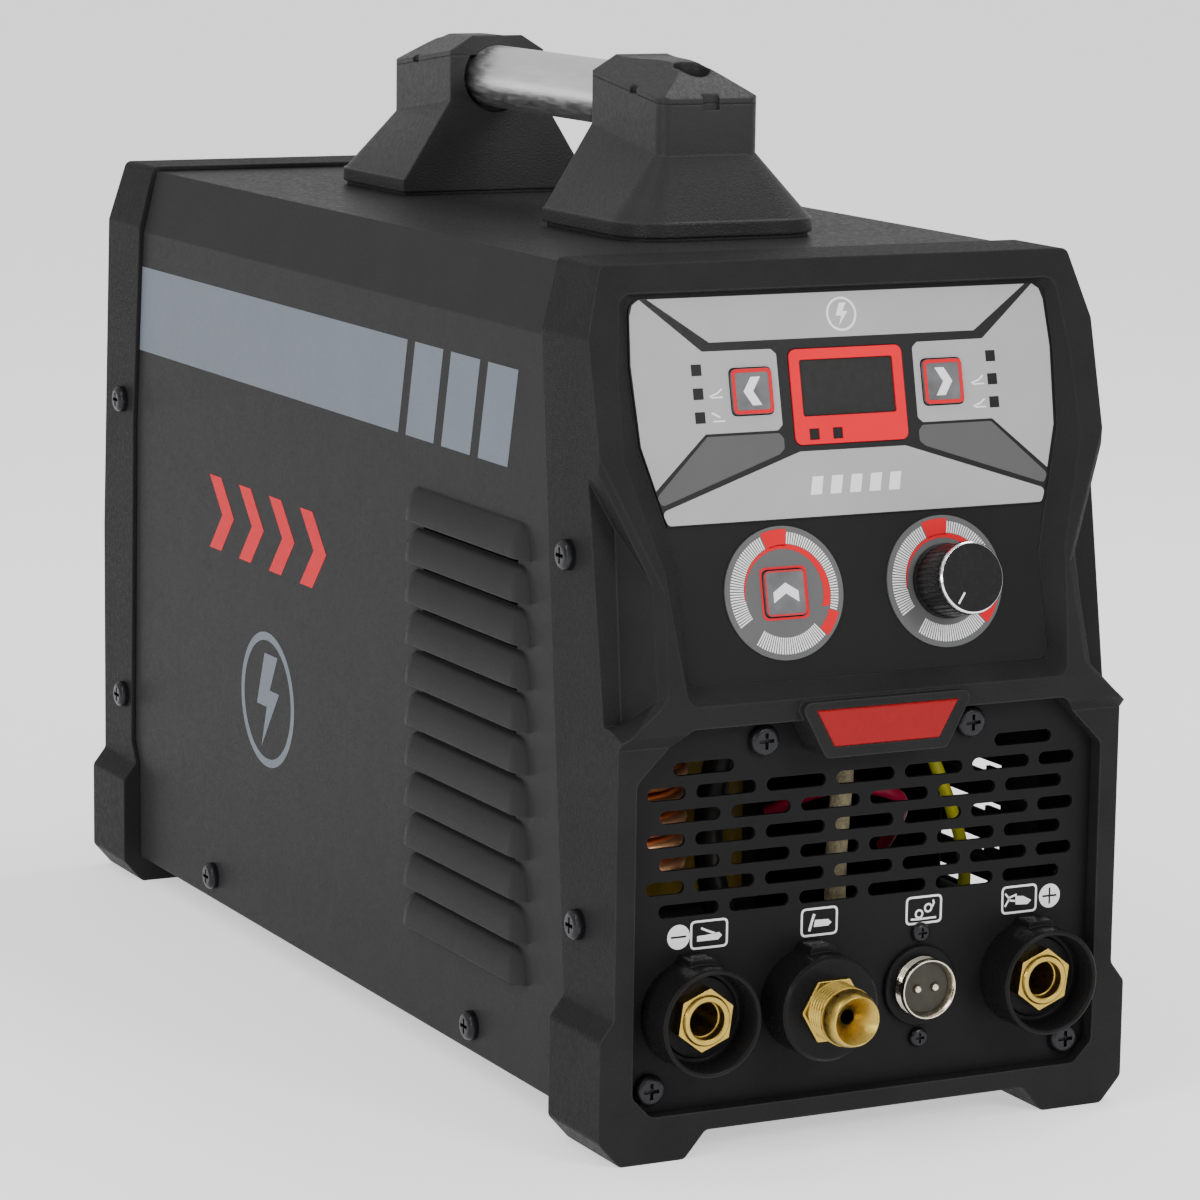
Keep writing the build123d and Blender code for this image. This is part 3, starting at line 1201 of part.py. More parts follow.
HOSE_R = 4.0
with BuildPart() as gas_hoses:
    add(lead([(GAS_X, 341, GAS_Z), (GAS_X, 330, GAS_Z), (GAS_X, 324, 160), (GAS_X, 313, 160)], HOSE_R))
    add(lead([(GAS_X, 287, 160), (GAS_X, 272, 160), (52, 245, 178), (56, 200, 194), (54, 150, 197),
              (44, 105, 188), (18, 74, 160), (-6, 62, 112), (TORCH_X, 64, 66), (TORCH_X, 46, SOCKET_Z),
              (TORCH_X, 24, SOCKET_Z)], HOSE_R))
finish(gas_hoses, "gas_hoses")

with BuildPart() as earth_wire:
    add(lead([(54, 58, 11), (53, 46, 34), (49, 33, 60), (35, 28, 90), (20, 34, 122), (10, 52, 160),
              (-14, 100, 196), (-34, 160, 202), (-40, 230, 198), (-40, 290, 188), (-41, 322, 182)], 1.7))
finish(earth_wire, "earth_wire")

with BuildPart() as internal_leads:
    add(lead([(38, 60, 60), (35, 40, 76), (22, 34, 83), (6, 41, 83), (-1, 54, 74)], 1.8))
    add(lead([(9, 34, 40), (7, 32, 62), (10, 33, 92), (14, 36, 118), (6, 44, 142)], 3.0))
finish(internal_leads, "internal_leads")

# ---- boards and power parts ----
BOARD_Z = 22.0
BOARD_FRONT = 88.0
BOARD_BACK = 312.0
BOARD_HALF = 62.0
STANDOFFS = [(x, depth(d)) for x in (-56, 56) for d in (BOARD_FRONT + 8, 200, BOARD_BACK - 8)]
with BuildPart() as main_board:
    with BuildSketch(Plane.XY.offset(BOARD_Z)):
        with Locations((0, depth((BOARD_FRONT + BOARD_BACK) / 2))):
            Rectangle(2 * BOARD_HALF, BOARD_BACK - BOARD_FRONT)
        with Locations(*STANDOFFS):
            Circle(1.6, mode=Mode.SUBTRACT)
    extrude(amount=1.6)
finish(main_board, "main_board")

with BuildPart() as board_standoffs:
    with BuildSketch(Plane.XY.offset(COVER_BOTTOM + SHEET)):
        with Locations(*STANDOFFS):
            RegularPolygon(3.4, 6)
    extrude(amount=BOARD_Z - COVER_BOTTOM - SHEET)
    with BuildSketch(Plane.XY.offset(BOARD_Z)):
        with Locations(*STANDOFFS):
            Circle(1.5)
    extrude(amount=4)
finish(board_standoffs, "board_standoffs")

BOARD_TOP = BOARD_Z + 1.6
SINK_X = 40.0
SINK_HEIGHT = 74.0
with BuildPart() as heat_sinks:
    for side in (-1, 1):
        with BuildSketch(facing_front(300)):
            with Locations((side * SINK_X, BOARD_TOP + SINK_HEIGHT / 2)):
                Rectangle(5, SINK_HEIGHT)
            with Locations(*[(side * (SINK_X + 9), BOARD_TOP + 4 + fin * 7.3) for fin in range(10)]):
                Rectangle(18, 1.8)
        extrude(amount=110)
finish(heat_sinks, "heat_sinks")

with BuildPart() as capacitors:
    with BuildSketch(Plane.XY.offset(BOARD_TOP)):
        with Locations(*[(-14, depth(d)) for d in (222, 256, 290)], *[(18, depth(d)) for d in (239, 273)]):
            Circle(14)
    extrude(amount=46)
    fillet(capacitors.faces().group_by(Axis.Z)[-1].edges(), radius=1.5)
finish(capacitors, "capacitors")

CORE_DEPTH = 140.0
with BuildPart() as transformer_core:
    with BuildSketch(facing_front(CORE_DEPTH + 20)):
        with Locations((0, BOARD_TOP + 34)):
            Rectangle(64, 66)
            with Locations((-17, 0), (17, 0)):
                Rectangle(14, 42, mode=Mode.SUBTRACT)
    extrude(amount=40)
finish(transformer_core, "transformer_core")

with BuildPart() as transformer_winding:
    with BuildSketch(Plane.XY.offset(BOARD_TOP + 14)):
        with Locations((0, depth(CORE_DEPTH))):
            RectangleRounded(47, 66, 8)
            Rectangle(20.2, 40.2, mode=Mode.SUBTRACT)
    extrude(amount=40)
finish(transformer_winding, "transformer_winding")

COIL_X = -46.0
COIL_DEPTH = 50.0
with BuildPart() as coupling_coil:
    with BuildSketch(Plane.XY.offset(58)):
        with Locations((COIL_X, depth(COIL_DEPTH))):
            Circle(17)
            Circle(10, mode=Mode.SUBTRACT)
    extrude(amount=48)
finish(coupling_coil, "coupling_coil")

with BuildPart() as control_board:
    with BuildSketch(panel_point(0, 24, -12.6)):
        Rectangle(100, 88)
    extrude(amount=-1.6)
    for x, v in KEY_PLACES.values():
        with BuildSketch(panel_point(x, v, -12.6)):
            Rectangle(6, 6)
        extrude(amount=7.3)
finish(control_board, "control_board")
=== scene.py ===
import json
import math

import bmesh
import bpy
from mathutils import Matrix, Vector
from mathutils.geometry import tessellate_polygon


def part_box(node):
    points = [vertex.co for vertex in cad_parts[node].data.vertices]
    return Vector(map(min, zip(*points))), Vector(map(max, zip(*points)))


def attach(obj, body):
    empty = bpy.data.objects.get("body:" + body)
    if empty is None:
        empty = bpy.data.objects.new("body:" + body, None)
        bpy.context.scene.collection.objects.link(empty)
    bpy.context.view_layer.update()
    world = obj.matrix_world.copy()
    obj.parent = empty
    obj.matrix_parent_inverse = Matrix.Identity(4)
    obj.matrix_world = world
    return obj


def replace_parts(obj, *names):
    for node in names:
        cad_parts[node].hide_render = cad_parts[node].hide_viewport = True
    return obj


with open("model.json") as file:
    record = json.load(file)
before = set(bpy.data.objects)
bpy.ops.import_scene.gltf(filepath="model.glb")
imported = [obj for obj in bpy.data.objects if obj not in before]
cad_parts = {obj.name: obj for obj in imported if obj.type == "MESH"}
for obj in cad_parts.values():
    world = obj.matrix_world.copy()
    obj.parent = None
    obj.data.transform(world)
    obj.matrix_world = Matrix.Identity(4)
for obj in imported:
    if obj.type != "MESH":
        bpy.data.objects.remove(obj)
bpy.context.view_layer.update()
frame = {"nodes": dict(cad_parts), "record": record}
NODES = frame["nodes"]
MM = 0.001
LENGTH = 360.0                  # lower front face to rear face, mm
LEAN = math.atan(0.23)          # backwards lean of the control panel
PANEL_DEPTH = 7.4
DIAL_Z = 142.3
COVER_HALF = 72.0


# ---------------------------------------------------------------- places
def point(x, d, z):
    """Metres, from millimetres across, behind the lower front face, and up."""
    return Vector((x, d - LENGTH / 2, z)) * MM


def plane(origin, across, up):
    """Frame with local x across, y up and z out of the surface, in millimetres."""
    u = Vector(across).normalized()
    v = Vector(up).normalized()
    turn = Matrix((u, v, u.cross(v))).transposed().to_4x4()
    return Matrix.Translation(origin) @ turn @ Matrix.Scale(MM, 4)


def on_panel(x, v):
    """Frame on the leaning control panel, x across and v up from the dials' centre line."""
    s, c = math.sin(LEAN), math.cos(LEAN)
    return plane(point(x, PANEL_DEPTH + v * s, DIAL_Z + v * c), (1, 0, 0), (0, s, c))


def on_front(x, d, z):
    return plane(point(x, d, z), (1, 0, 0), (0, 0, 1))


# ---------------------------------------------------------------- materials
GLOSS_SPREAD = 0.08


def new_material(name):
    made = bpy.data.materials.new(name)
    made.use_nodes = True
    made.node_tree.nodes.clear()
    return made, made.node_tree.nodes, made.node_tree.links


def finish(name, color, roughness=0.5, metallic=0.0, grain=0.12, grain_size=0.5, mottle=0.08,
           mottle_size=18.0, rounding=0.35, edge_wear_and_highlight=0.0, stretch=(1, 1, 1), second=None, second_below=None,
           specular=0.5):
    """Procedural surface: mottled colour, uneven gloss, fine grain, softened edges, and lighter edges that
    are partly wear and partly a painted highlight.

    Sizes are in millimetres. A second, coarser grain may lie below a height.
    """
    made, nodes, links = new_material(name)
    out = nodes.new("ShaderNodeOutputMaterial")
    shader = nodes.new("ShaderNodeBsdfPrincipled")
    links.new(shader.outputs["BSDF"], out.inputs["Surface"])
    shader.inputs["Metallic"].default_value = metallic
    shader.inputs["Specular IOR Level"].default_value = specular
    coords = nodes.new("ShaderNodeTexCoord")
    mapping = nodes.new("ShaderNodeMapping")
    mapping.inputs["Scale"].default_value = stretch
    links.new(coords.outputs["Object"], mapping.inputs["Vector"])

    def noise(size, detail=3.0, rough=0.55):
        node = nodes.new("ShaderNodeTexNoise")
        node.inputs["Scale"].default_value = 1.0 / (size * MM)
        node.inputs["Detail"].default_value = detail
        node.inputs["Roughness"].default_value = rough
        links.new(mapping.outputs["Vector"], node.inputs["Vector"])
        return node.outputs["Fac"]

    def spread(value, low, high):
        node = nodes.new("ShaderNodeMapRange")
        node.inputs["From Min"].default_value = 0.3
        node.inputs["From Max"].default_value = 0.7
        node.inputs["To Min"].default_value = low
        node.inputs["To Max"].default_value = high
        links.new(value, node.inputs["Value"])
        return node.outputs["Result"]

    # colour
    broad = noise(mottle_size)
    tint = nodes.new("ShaderNodeMix")
    tint.data_type = "RGBA"
    tint.inputs[6].default_value = (*[c * (1 - mottle) for c in color], 1)
    tint.inputs[7].default_value = (*[min(1.0, c * (1 + mottle)) for c in color], 1)
    links.new(spread(broad, 0, 1), tint.inputs[0])
    shade = tint.outputs[2]
    # edges: the softened normal leaves the true one only near an edge
    if rounding:
        bevel = nodes.new("ShaderNodeBevel")
        bevel.samples = 6
        bevel.inputs["Radius"].default_value = rounding * MM
    # edges painted lighter near every edge: partly wear, partly a painted highlight
    if edge_wear_and_highlight:
        geometry = nodes.new("ShaderNodeNewGeometry")
        turn = nodes.new("ShaderNodeVectorMath")
        turn.operation = "DOT_PRODUCT"
        links.new(bevel.outputs["Normal"], turn.inputs[0])
        links.new(geometry.outputs["Normal"], turn.inputs[1])
        edge = nodes.new("ShaderNodeMapRange")
        edge.inputs["From Min"].default_value = 0.995
        edge.inputs["From Max"].default_value = 0.8
        edge.inputs["To Min"].default_value = 0.0
        edge.inputs["To Max"].default_value = edge_wear_and_highlight
        links.new(turn.outputs["Value"], edge.inputs["Value"])
        worn_and_lit_edge = nodes.new("ShaderNodeMix")
        worn_and_lit_edge.data_type = "RGBA"
        links.new(edge.outputs["Result"], worn_and_lit_edge.inputs[0])
        links.new(shade, worn_and_lit_edge.inputs[6])
        worn_and_lit_edge.inputs[7].default_value = (*[min(1.0, c * 2.4 + 0.03) for c in color], 1)
        shade = worn_and_lit_edge.outputs[2]
    links.new(shade, shader.inputs["Base Color"])
    # gloss
    fine = noise(grain_size * 3.0, 2.0)
    links.new(spread(fine, roughness - GLOSS_SPREAD, roughness + GLOSS_SPREAD),
              shader.inputs["Roughness"])
    # grain
    bump = nodes.new("ShaderNodeBump")
    bump.inputs["Strength"].default_value = grain
    bump.inputs["Distance"].default_value = grain_size * MM
    relief = noise(grain_size, 2.0, 0.5)
    if second:
        coarse = noise(second, 1.0, 0.4)
        height = nodes.new("ShaderNodeSeparateXYZ")
        links.new(coords.outputs["Object"], height.inputs["Vector"])
        band = nodes.new("ShaderNodeMapRange")
        band.inputs["From Min"].default_value = (second_below - 1.0) * MM
        band.inputs["From Max"].default_value = (second_below + 1.0) * MM
        links.new(height.outputs["Z"], band.inputs["Value"])
        both = nodes.new("ShaderNodeMix")
        both.data_type = "FLOAT"
        links.new(band.outputs["Result"], both.inputs[0])
        links.new(coarse, both.inputs[2])
        links.new(relief, both.inputs[3])
        relief = both.outputs[0]
    links.new(relief, bump.inputs["Height"])
    if rounding:
        links.new(bevel.outputs["Normal"], bump.inputs["Normal"])
    links.new(bump.outputs["Normal"], shader.inputs["Normal"])
    return made


# edge_wear_and_highlight lightens a finish's edges: partly wear, partly a painted highlight
FINISHES = {
    "bezel": finish("bezel_grain", (0.019, 0.019, 0.0195), 0.42, grain=0.6, grain_size=0.5, rounding=0.8,
                    edge_wear_and_highlight=0.45, specular=0.02),
    "cover_paint": finish("powder_coat_grey", (0.028, 0.028, 0.0285), 0.34, grain=0.14, grain_size=0.45,
                          rounding=0.8, mottle=0.04, edge_wear_and_highlight=0.15, specular=0.018),
    "base_steel": finish("powder_coat_base", (0.03, 0.03, 0.0305), 0.45, grain=0.10, grain_size=0.45,
                         specular=0.16),
    "panel_plastic": finish("panel_plastic", (0.013, 0.013, 0.0135), 0.40, grain=0.06, grain_size=0.35,
                            mottle=0.04, specular=0.05),
    "overlay": finish("overlay_black", (0.009, 0.009, 0.0095), 0.36, grain=0.03, grain_size=0.3,
                      mottle=0.04, specular=0.14),
    "red_trim": finish("red_trim", (0.74, 0.009, 0.022), 0.34, grain=0.03, grain_size=0.4, mottle=0.05,
                       rounding=0.4, specular=0.05),
    "display_lens": finish("display_lens", (0.027, 0.028, 0.027), 0.16, grain=0.0, mottle=0.03,
                           rounding=0.2, specular=0.05),
    "indicator": finish("indicator_lens", (0.019, 0.018, 0.019), 0.25, grain=0.0, mottle=0.05, rounding=0.1,
                        specular=0.06),
    "key": finish("key_film", (0.115, 0.115, 0.12), 0.35, grain=0.03, grain_size=0.3, mottle=0.25,
                  mottle_size=7.0, rounding=0.3, specular=0.2),
    "dial": finish("dial_film", (0.095, 0.095, 0.097), 0.4, grain=0.03, grain_size=0.3, mottle=0.03,
                   rounding=0.1, specular=0.16),
    "knob_black": finish("knob_black", (0.008, 0.008, 0.008), 0.32, grain=0.05, grain_size=0.3,
                         rounding=0.15, specular=0.25),
    "knob_aluminium": finish("knob_aluminium", (0.90, 0.90, 0.91), 0.14, 1.0, grain=0.05, grain_size=0.3,
                             mottle=0.03, rounding=0.15),
    "knob_face": finish("knob_face", (0.016, 0.016, 0.0165), 0.24, grain=0.02, grain_size=0.4, rounding=0.1,
                        specular=0.06),
    "board_parts": finish("board_parts", (0.02, 0.02, 0.022), 0.5, grain=0.08, grain_size=0.5,
                          specular=0.2),
    "shaft_steel": finish("shaft_steel", (0.55, 0.55, 0.57), 0.25, 1.0, grain=0.06, grain_size=0.4),
    "panel_paint": finish("panel_paint", (0.0095, 0.0095, 0.01), 0.44, grain=0.12, grain_size=0.4,
                          mottle=0.05, rounding=0.3, edge_wear_and_highlight=0.15, specular=0.07),
    "screw_black": finish("screw_black", (0.026, 0.026, 0.028), 0.30, 0.7, grain=0.12, grain_size=0.5,
                          rounding=0.25, edge_wear_and_highlight=0.45, specular=0.2),
    "socket_plastic": finish("socket_plastic", (0.0085, 0.0085, 0.009), 0.30, grain=0.06, grain_size=0.4,
                             rounding=0.4, edge_wear_and_highlight=0.3, specular=0.08),
    "brass": finish("brass", (0.47, 0.325, 0.075), 0.33, 1.0, grain=0.06, grain_size=0.4, mottle=0.08,
                    mottle_size=4.0, rounding=0.2, edge_wear_and_highlight=0.1),
    "nickel": finish("nickel", (0.66, 0.60, 0.50), 0.16, 1.0, grain=0.05, grain_size=0.4, rounding=0.2),
    "handle_plastic": finish("handle_plastic", (0.024, 0.024, 0.0245), 0.38, grain=0.3, grain_size=0.4,
                             rounding=0.8, edge_wear_and_highlight=0.3, second=0.6, second_below=247.5, specular=0.17),
    "handle_aluminium": finish("handle_aluminium", (0.84, 0.84, 0.85), 0.36, 1.0, grain=0.10,
                               grain_size=0.35, mottle=0.03, stretch=(1, 0.15, 1)),
    "fan_plastic": finish("fan_plastic", (0.010, 0.010, 0.010), 0.40, grain=0.06, grain_size=0.5,
                          rounding=0.3, specular=0.25),
    "guard_wire": finish("guard_wire", (0.62, 0.62, 0.63), 0.22, 1.0, grain=0.05, grain_size=0.5,
                         rounding=0.0),
    "switch_black": finish("switch_black", (0.009, 0.009, 0.009), 0.3, grain=0.05, grain_size=0.4,
                           rounding=0.4, specular=0.25),
    "switch_red": finish("switch_red", (0.45, 0.008, 0.012), 0.26, grain=0.03, grain_size=0.4, rounding=0.4,
                         specular=0.25),
    "gland_plastic": finish("gland_plastic", (0.011, 0.011, 0.0115), 0.45, grain=0.08, grain_size=0.4,
                            rounding=0.4, specular=0.25),
    "board": finish("solder_mask", (0.012, 0.08, 0.03), 0.35, grain=0.10, grain_size=1.2, mottle=0.3,
                    mottle_size=5.0),
    "sink": finish("sink", (0.28, 0.28, 0.29), 0.4, 1.0, grain=0.1, grain_size=0.6),
    "capacitor": finish("capacitor", (0.012, 0.012, 0.02), 0.3, grain=0.03, rounding=0.6),
    "ferrite": finish("ferrite", (0.02, 0.02, 0.023), 0.6, grain=0.2, grain_size=0.8),
    "tape": finish("tape", (0.45, 0.30, 0.04), 0.35, grain=0.08, grain_size=2.0, mottle=0.15,
                   mottle_size=6.0),
    "copper": finish("copper", (0.84, 0.43, 0.23), 0.42, 1.0, grain=0.05, grain_size=0.6, mottle=0.06,
                     mottle_size=5.0, rounding=0.0),
    "hose": finish("hose", (0.010, 0.010, 0.010), 0.4, grain=0.06, grain_size=0.6, specular=0.25),
    "earth_green": finish("earth_green", (0.50, 0.47, 0.008), 0.4, grain=0.03, mottle=0.1),
    "lead_red": finish("lead_red", (0.42, 0.006, 0.05), 0.4, grain=0.03, mottle=0.1),
}
BADGE_RED = finish("badge_red", (0.26, 0.001, 0.003), 0.28, grain=0.05, grain_size=0.5, mottle=0.04,
                   rounding=0.4, specular=0.2)
for part in frame["record"]["subparts"]:
    node = NODES[part["node"]]
    node.data.materials.clear()
    node.data.materials.append(FINISHES[part["material_slot"]])
NODES["badge"].data.materials[0] = BADGE_RED
PHENOLIC = finish("phenolic", (0.036, 0.033, 0.024), 0.4, grain=0.08, grain_size=0.4, mottle=0.15,
                  mottle_size=3.0, specular=0.2)
NODES["control_insulator"].data.materials[0] = PHENOLIC
NODES["control_pins"].data.materials[0] = FINISHES["nickel"]

BRAID = finish("cotton_braid", (0.42, 0.36, 0.22), 0.8, grain=0.9, grain_size=0.7, mottle=0.35,
               mottle_size=1.6, rounding=0.0)


def ink(name, color, roughness=0.38, grain=0.02):
    return finish("print_" + name, color, roughness, grain=grain, grain_size=0.35, mottle=0.03,
                  rounding=0.0, specular=0.06)


PRINTS = {
    "light": ink("light_grey", (0.355, 0.35, 0.355)),
    "mid": ink("mid_grey", (0.092, 0.092, 0.093)),
    "white": ink("white", (0.80, 0.80, 0.80)),
    "red": ink("red", (0.60, 0.008, 0.018)),
    "blue_grey": ink("blue_grey", (0.142, 0.163, 0.192), 0.42, 0.10),
}

# ---------------------------------------------------------------- shapes
def new_piece(name, bm, material, body="case"):
    """Turn a finished bmesh into a piece that rides on a body."""
    bmesh.ops.recalc_face_normals(bm, faces=bm.faces)
    mesh = bpy.data.meshes.new(name)
    bm.to_mesh(mesh)
    bm.free()
    piece = bpy.data.objects.new(name, mesh)
    bpy.context.scene.collection.objects.link(piece)
    mesh.materials.append(material)
    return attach(piece, body) or piece


def plate(bm, place, loops, low, high):
    """Closed plate between two heights. The first loop is its outline and the others are holes."""
    points = [p for loop in loops for p in loop]
    lower = [bm.verts.new(place @ Vector((x, y, low))) for x, y in points]
    upper = [bm.verts.new(place @ Vector((x, y, high))) for x, y in points]
    for a, b, c in tessellate_polygon([[Vector((x, y, 0)) for x, y in loop] for loop in loops]):
        bm.faces.new((upper[a], upper[b], upper[c]))
        bm.faces.new((lower[c], lower[b], lower[a]))
    start = 0
    for loop in loops:
        for i in range(len(loop)):
            j = (i + 1) % len(loop)
            bm.faces.new((lower[start + i], lower[start + j], upper[start + j], upper[start + i]))
        start += len(loop)


def rounded(points, radius, steps=5):
    """Outline with its corners rounded."""
    made = []
    for i, corner in enumerate(points):
        corner = Vector(corner)
        before = Vector(points[i - 1]) - corner
        after = Vector(points[(i + 1) % len(points)]) - corner
        cut = min(radius / math.tan(before.angle(after) / 2), 0.48 * before.length, 0.48 * after.length)
        first = corner + before.normalized() * cut
        last = corner + after.normalized() * cut
        for step in range(steps + 1):
            t = step / steps
            made.append(tuple(first * (1 - t) ** 2 + corner * 2 * t * (1 - t) + last * t * t))
    return made


def box_outline(width, height, x=0.0, y=0.0, radius=0.0):
    corners = [(x - width / 2, y - height / 2), (x + width / 2, y - height / 2),
               (x + width / 2, y + height / 2), (x - width / 2, y + height / 2)]
    return rounded(corners, radius) if radius else corners


def circle(radius, x=0.0, y=0.0, steps=48):
    return [(x + radius * math.cos(2 * math.pi * k / steps), y + radius * math.sin(2 * math.pi * k / steps))
            for k in range(steps)]


def clock(radius, degrees):
    """Point at an angle clockwise from the top."""
    return radius * math.sin(math.radians(degrees)), radius * math.cos(math.radians(degrees))


def stroke(points, width):
    """Outline of a line drawn with a square pen, mitred at its corners."""
    points = [Vector(p) for p in points]
    sides = []
    for i, here in enumerate(points):
        if i < len(points) - 1:
            ahead = points[i + 1] - here
        else:
            ahead = here - points[i - 1]
        behind = (here - points[i - 1]) if i else ahead
        ahead.normalize()
        behind.normalize()
        across = Vector((-ahead.y - behind.y, ahead.x + behind.x)).normalized()
        half = width / 2 / max(0.35, across.dot(Vector((-ahead.y, ahead.x))))
        sides.append((here + across * half, here - across * half))
    return [tuple(a) for a, b in sides] + [tuple(b) for a, b in reversed(sides)]


def shifted(outline, x, y, scale=1.0):
    return [(x + px * scale, y + py * scale) for px, py in outline]


PRINT_HEIGHT = 0.07


def printed(name, place, items, material, lift=0.0, body="case"):
    """Thin film of ink or foil: each item is a list of loops, an outline and its holes."""
    bm = bmesh.new()
    for loops in items:
        plate(bm, place, loops, lift - 0.02, lift + PRINT_HEIGHT)
    return new_piece(name, bm, PRINTS[material], body)


def turned(bm, place, rows, steps=72, pitch=1.0, depth=0.0):
    """Turned shape about local z. Each row is (radius, height, share of the thread's depth)."""
    rings = []
    for radius, height, share in rows:
        ring = []
        for k in range(steps):
            angle = 2 * math.pi * k / steps
            wave = abs(((height / pitch - k / steps) % 1.0) * 2 - 1) if share else 0.0
            r = radius - depth * share * wave
            ring.append(bm.verts.new(place @ Vector((r * math.cos(angle), r * math.sin(angle), height))))
        rings.append(ring)
    for a, b in zip(rings, rings[1:] + rings[:1]):
        for k in range(steps):
            j = (k + 1) % steps
            bm.faces.new((a[k], a[j], b[j], b[k]))


def thread_rows(radius, low, high, pitch):
    """Rows of a thread that runs out at both ends."""
    count = max(8, int((high - low) / pitch * 10))
    rows = []
    for k in range(count + 1):
        height = low + (high - low) * k / count
        run_out = min(1.0, (height - low) / (0.5 * pitch), (high - height) / (0.5 * pitch))
        rows.append((radius, height, max(0.0, run_out)))
    return rows


def smooth(piece, degrees=35):
    """Shade curved faces smoothly and keep real edges sharp."""
    for polygon in piece.data.polygons:
        polygon.use_smooth = True
    piece.data.set_sharp_from_angle(angle=math.radians(degrees))
    return piece


def wire(name, points, radius, material, body="case"):
    """Round wire or sleeve along a smooth curve from the first point to the last, near the others."""
    curve = bpy.data.curves.new(name, "CURVE")
    curve.dimensions = "3D"
    curve.bevel_depth = radius * MM
    curve.bevel_resolution = 5
    curve.resolution_u = 10
    curve.use_fill_caps = True
    spline = curve.splines.new("NURBS")
    spline.points.add(len(points) - 1)
    for knot, place in zip(spline.points, points):
        knot.co = (*place, 1)
    spline.use_endpoint_u = True
    spline.order_u = 3
    curve.materials.append(material)
    piece = bpy.data.objects.new(name, curve)
    bpy.context.scene.collection.objects.link(piece)
    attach(piece, body)
    return piece


# ---------------------------------------------------------------- printing on the control panel
OVERLAY_TOP = 0.5
DIAL_TOP = 0.5
KEY_X, KEY_V = 27.9, 51.3       # arrow keys, across and above the dials' centre line
KEY_HOLE = 12.3
DIAL_X = 23.5
LED_X = 43.0
LED_VS = (57.3, 51.3, 45.3)
panel = on_panel(0, 0)


def both_sides(outline):
    """The outline and its mirror image."""
    return [[outline], [[(-x, y) for x, y in reversed(outline)]]]


TOP_BAND = [(-55.2, 75.6), (-38.7, 64.1), (38.7, 64.1), (55.2, 75.6)]
SIDE_CELL = [(57.4, 75.6), (59.4, 74.3), (60.4, 71.5), (61.2, 59.2), (60.3, 38.8), (57.2, 27.6)]
SIDE_CELL += rounded([(57.2, 27.6), (41.9, 41.1), (21.2, 41.1), (19.8, 42.4), (19.9, 60.5), (21.4, 61.8),
                      (41, 61.9), (57.4, 75.6)], 1.0)[6:-6]
LOWER_BAND = [(54.6, 18.7), (56.0, 22.2), (15.4, 35.4), (-15.4, 35.4), (-56.0, 22.2), (-54.6, 18.7)]
WEDGE = rounded([(57.0, 26.1), (41.5, 40.4), (20.9, 40.4), (19.7, 38.9), (19.8, 36.3), (21.4, 35.0),
                 (55.9, 23.6)], 1.2)
key_holes = [box_outline(KEY_HOLE, KEY_HOLE, side * KEY_X, KEY_V, 1.7) for side in (-1, 1)]
led_holes = [[box_outline(2.9, 2.9, side * LED_X, v) for v in LED_VS] for side in (-1, 1)]
cells = both_sides(SIDE_CELL)
cells[0] += [key_holes[1]] + led_holes[1]
cells[1] += [key_holes[0]] + led_holes[0]
printed("overlay_light_fields", panel, cells + [[TOP_BAND], [rounded(LOWER_BAND, 1.5)]], "light",
        OVERLAY_TOP)
printed("overlay_dark_fields", panel, both_sides(WEDGE), "mid", OVERLAY_TOP)

BOLT = [(-0.10, 0.62), (0.34, 0.62), (0.08, 0.14), (0.40, 0.14), (-0.20, -0.66), (-0.02, -0.10),
        (-0.36, -0.10)]
SLANT = [(-2.1, -2.3), (1.1, -2.3), (2.1, 2.3), (-1.1, 2.3)]
LABEL_TOP = OVERLAY_TOP + 0.05
EMBLEM_V = 69.9
LIGHT_MARKS = [(-39.9, 51.4), (36.6, 51.4), (36.6, 45.4)]      # generic marks beside the square lights
marks = [[circle(4.4, 0, EMBLEM_V), circle(3.8, 0, EMBLEM_V)], [shifted(BOLT, 0, EMBLEM_V, 4.6)]]
marks += [[shifted(SLANT, x, 26.6)] for x in (-11.4, -5.7, 0, 5.7, 11.4)]
marks += [[stroke([(x, v - 0.9), (x + 2.2, v - 0.2), (x + 3.6, v + 0.9)], 0.45)]
          for x, v in LIGHT_MARKS]
marks += [[stroke([(x + 0.5, v - 1.2), (x + 3.8, v - 1.2)], 0.4)]
          for x, v in LIGHT_MARKS + [(-39.9, 45.4)]]
marks += [[stroke([(-39.7, 46.4), (-37.4, 45.2)], 0.5)]]
printed("overlay_white_marks", panel, marks, "white", LABEL_TOP)

# keys: a red outline round a bold chevron
CHEVRON = [(-2.0, 3.6), (0.7, 3.6), (3.0, 0.0), (0.7, -3.6), (-2.0, -3.6), (0.3, 0.0)]
KEY_TOP = 1.3
KEYS = {"left_key": (-KEY_X, KEY_V, 180), "right_key": (KEY_X, KEY_V, 0), "mode_key": (-DIAL_X, 0.0, 90)}
for key, (x, v, turn) in KEYS.items():
    place = on_panel(x, v)
    inner = 10.7 if key == "mode_key" else 9.6
    outline = [box_outline(11.4, 11.4, radius=1.4), box_outline(inner, inner, radius=0.8)]
    printed(key + "_outline", place, [outline], "red", KEY_TOP, key + "_body")
    c, s = math.cos(math.radians(turn)), math.sin(math.radians(turn))
    arrow = [(c * px - s * py - 0.4 * c, s * px + c * py - 0.4 * s) for px, py in CHEVRON]
    printed(key + "_arrow", place, [[arrow]], "white", KEY_TOP, key + "_body")

# dials: fine divisions, two red fields and a red arc that widens, with angles clockwise from the top
RED_BLOCKS = ((-20, 7), (111, 135))
RED_ARC = (263, 471)
ARC_STEP = 4
ARC_INNER_R = 11.2
TICKS = (239.5, 576)
TICK_STEP = 2.8
TICK_OUTER_R = 15.5
TICK_HALF = math.degrees(0.17 / 13.5)       # half a division's width, in degrees


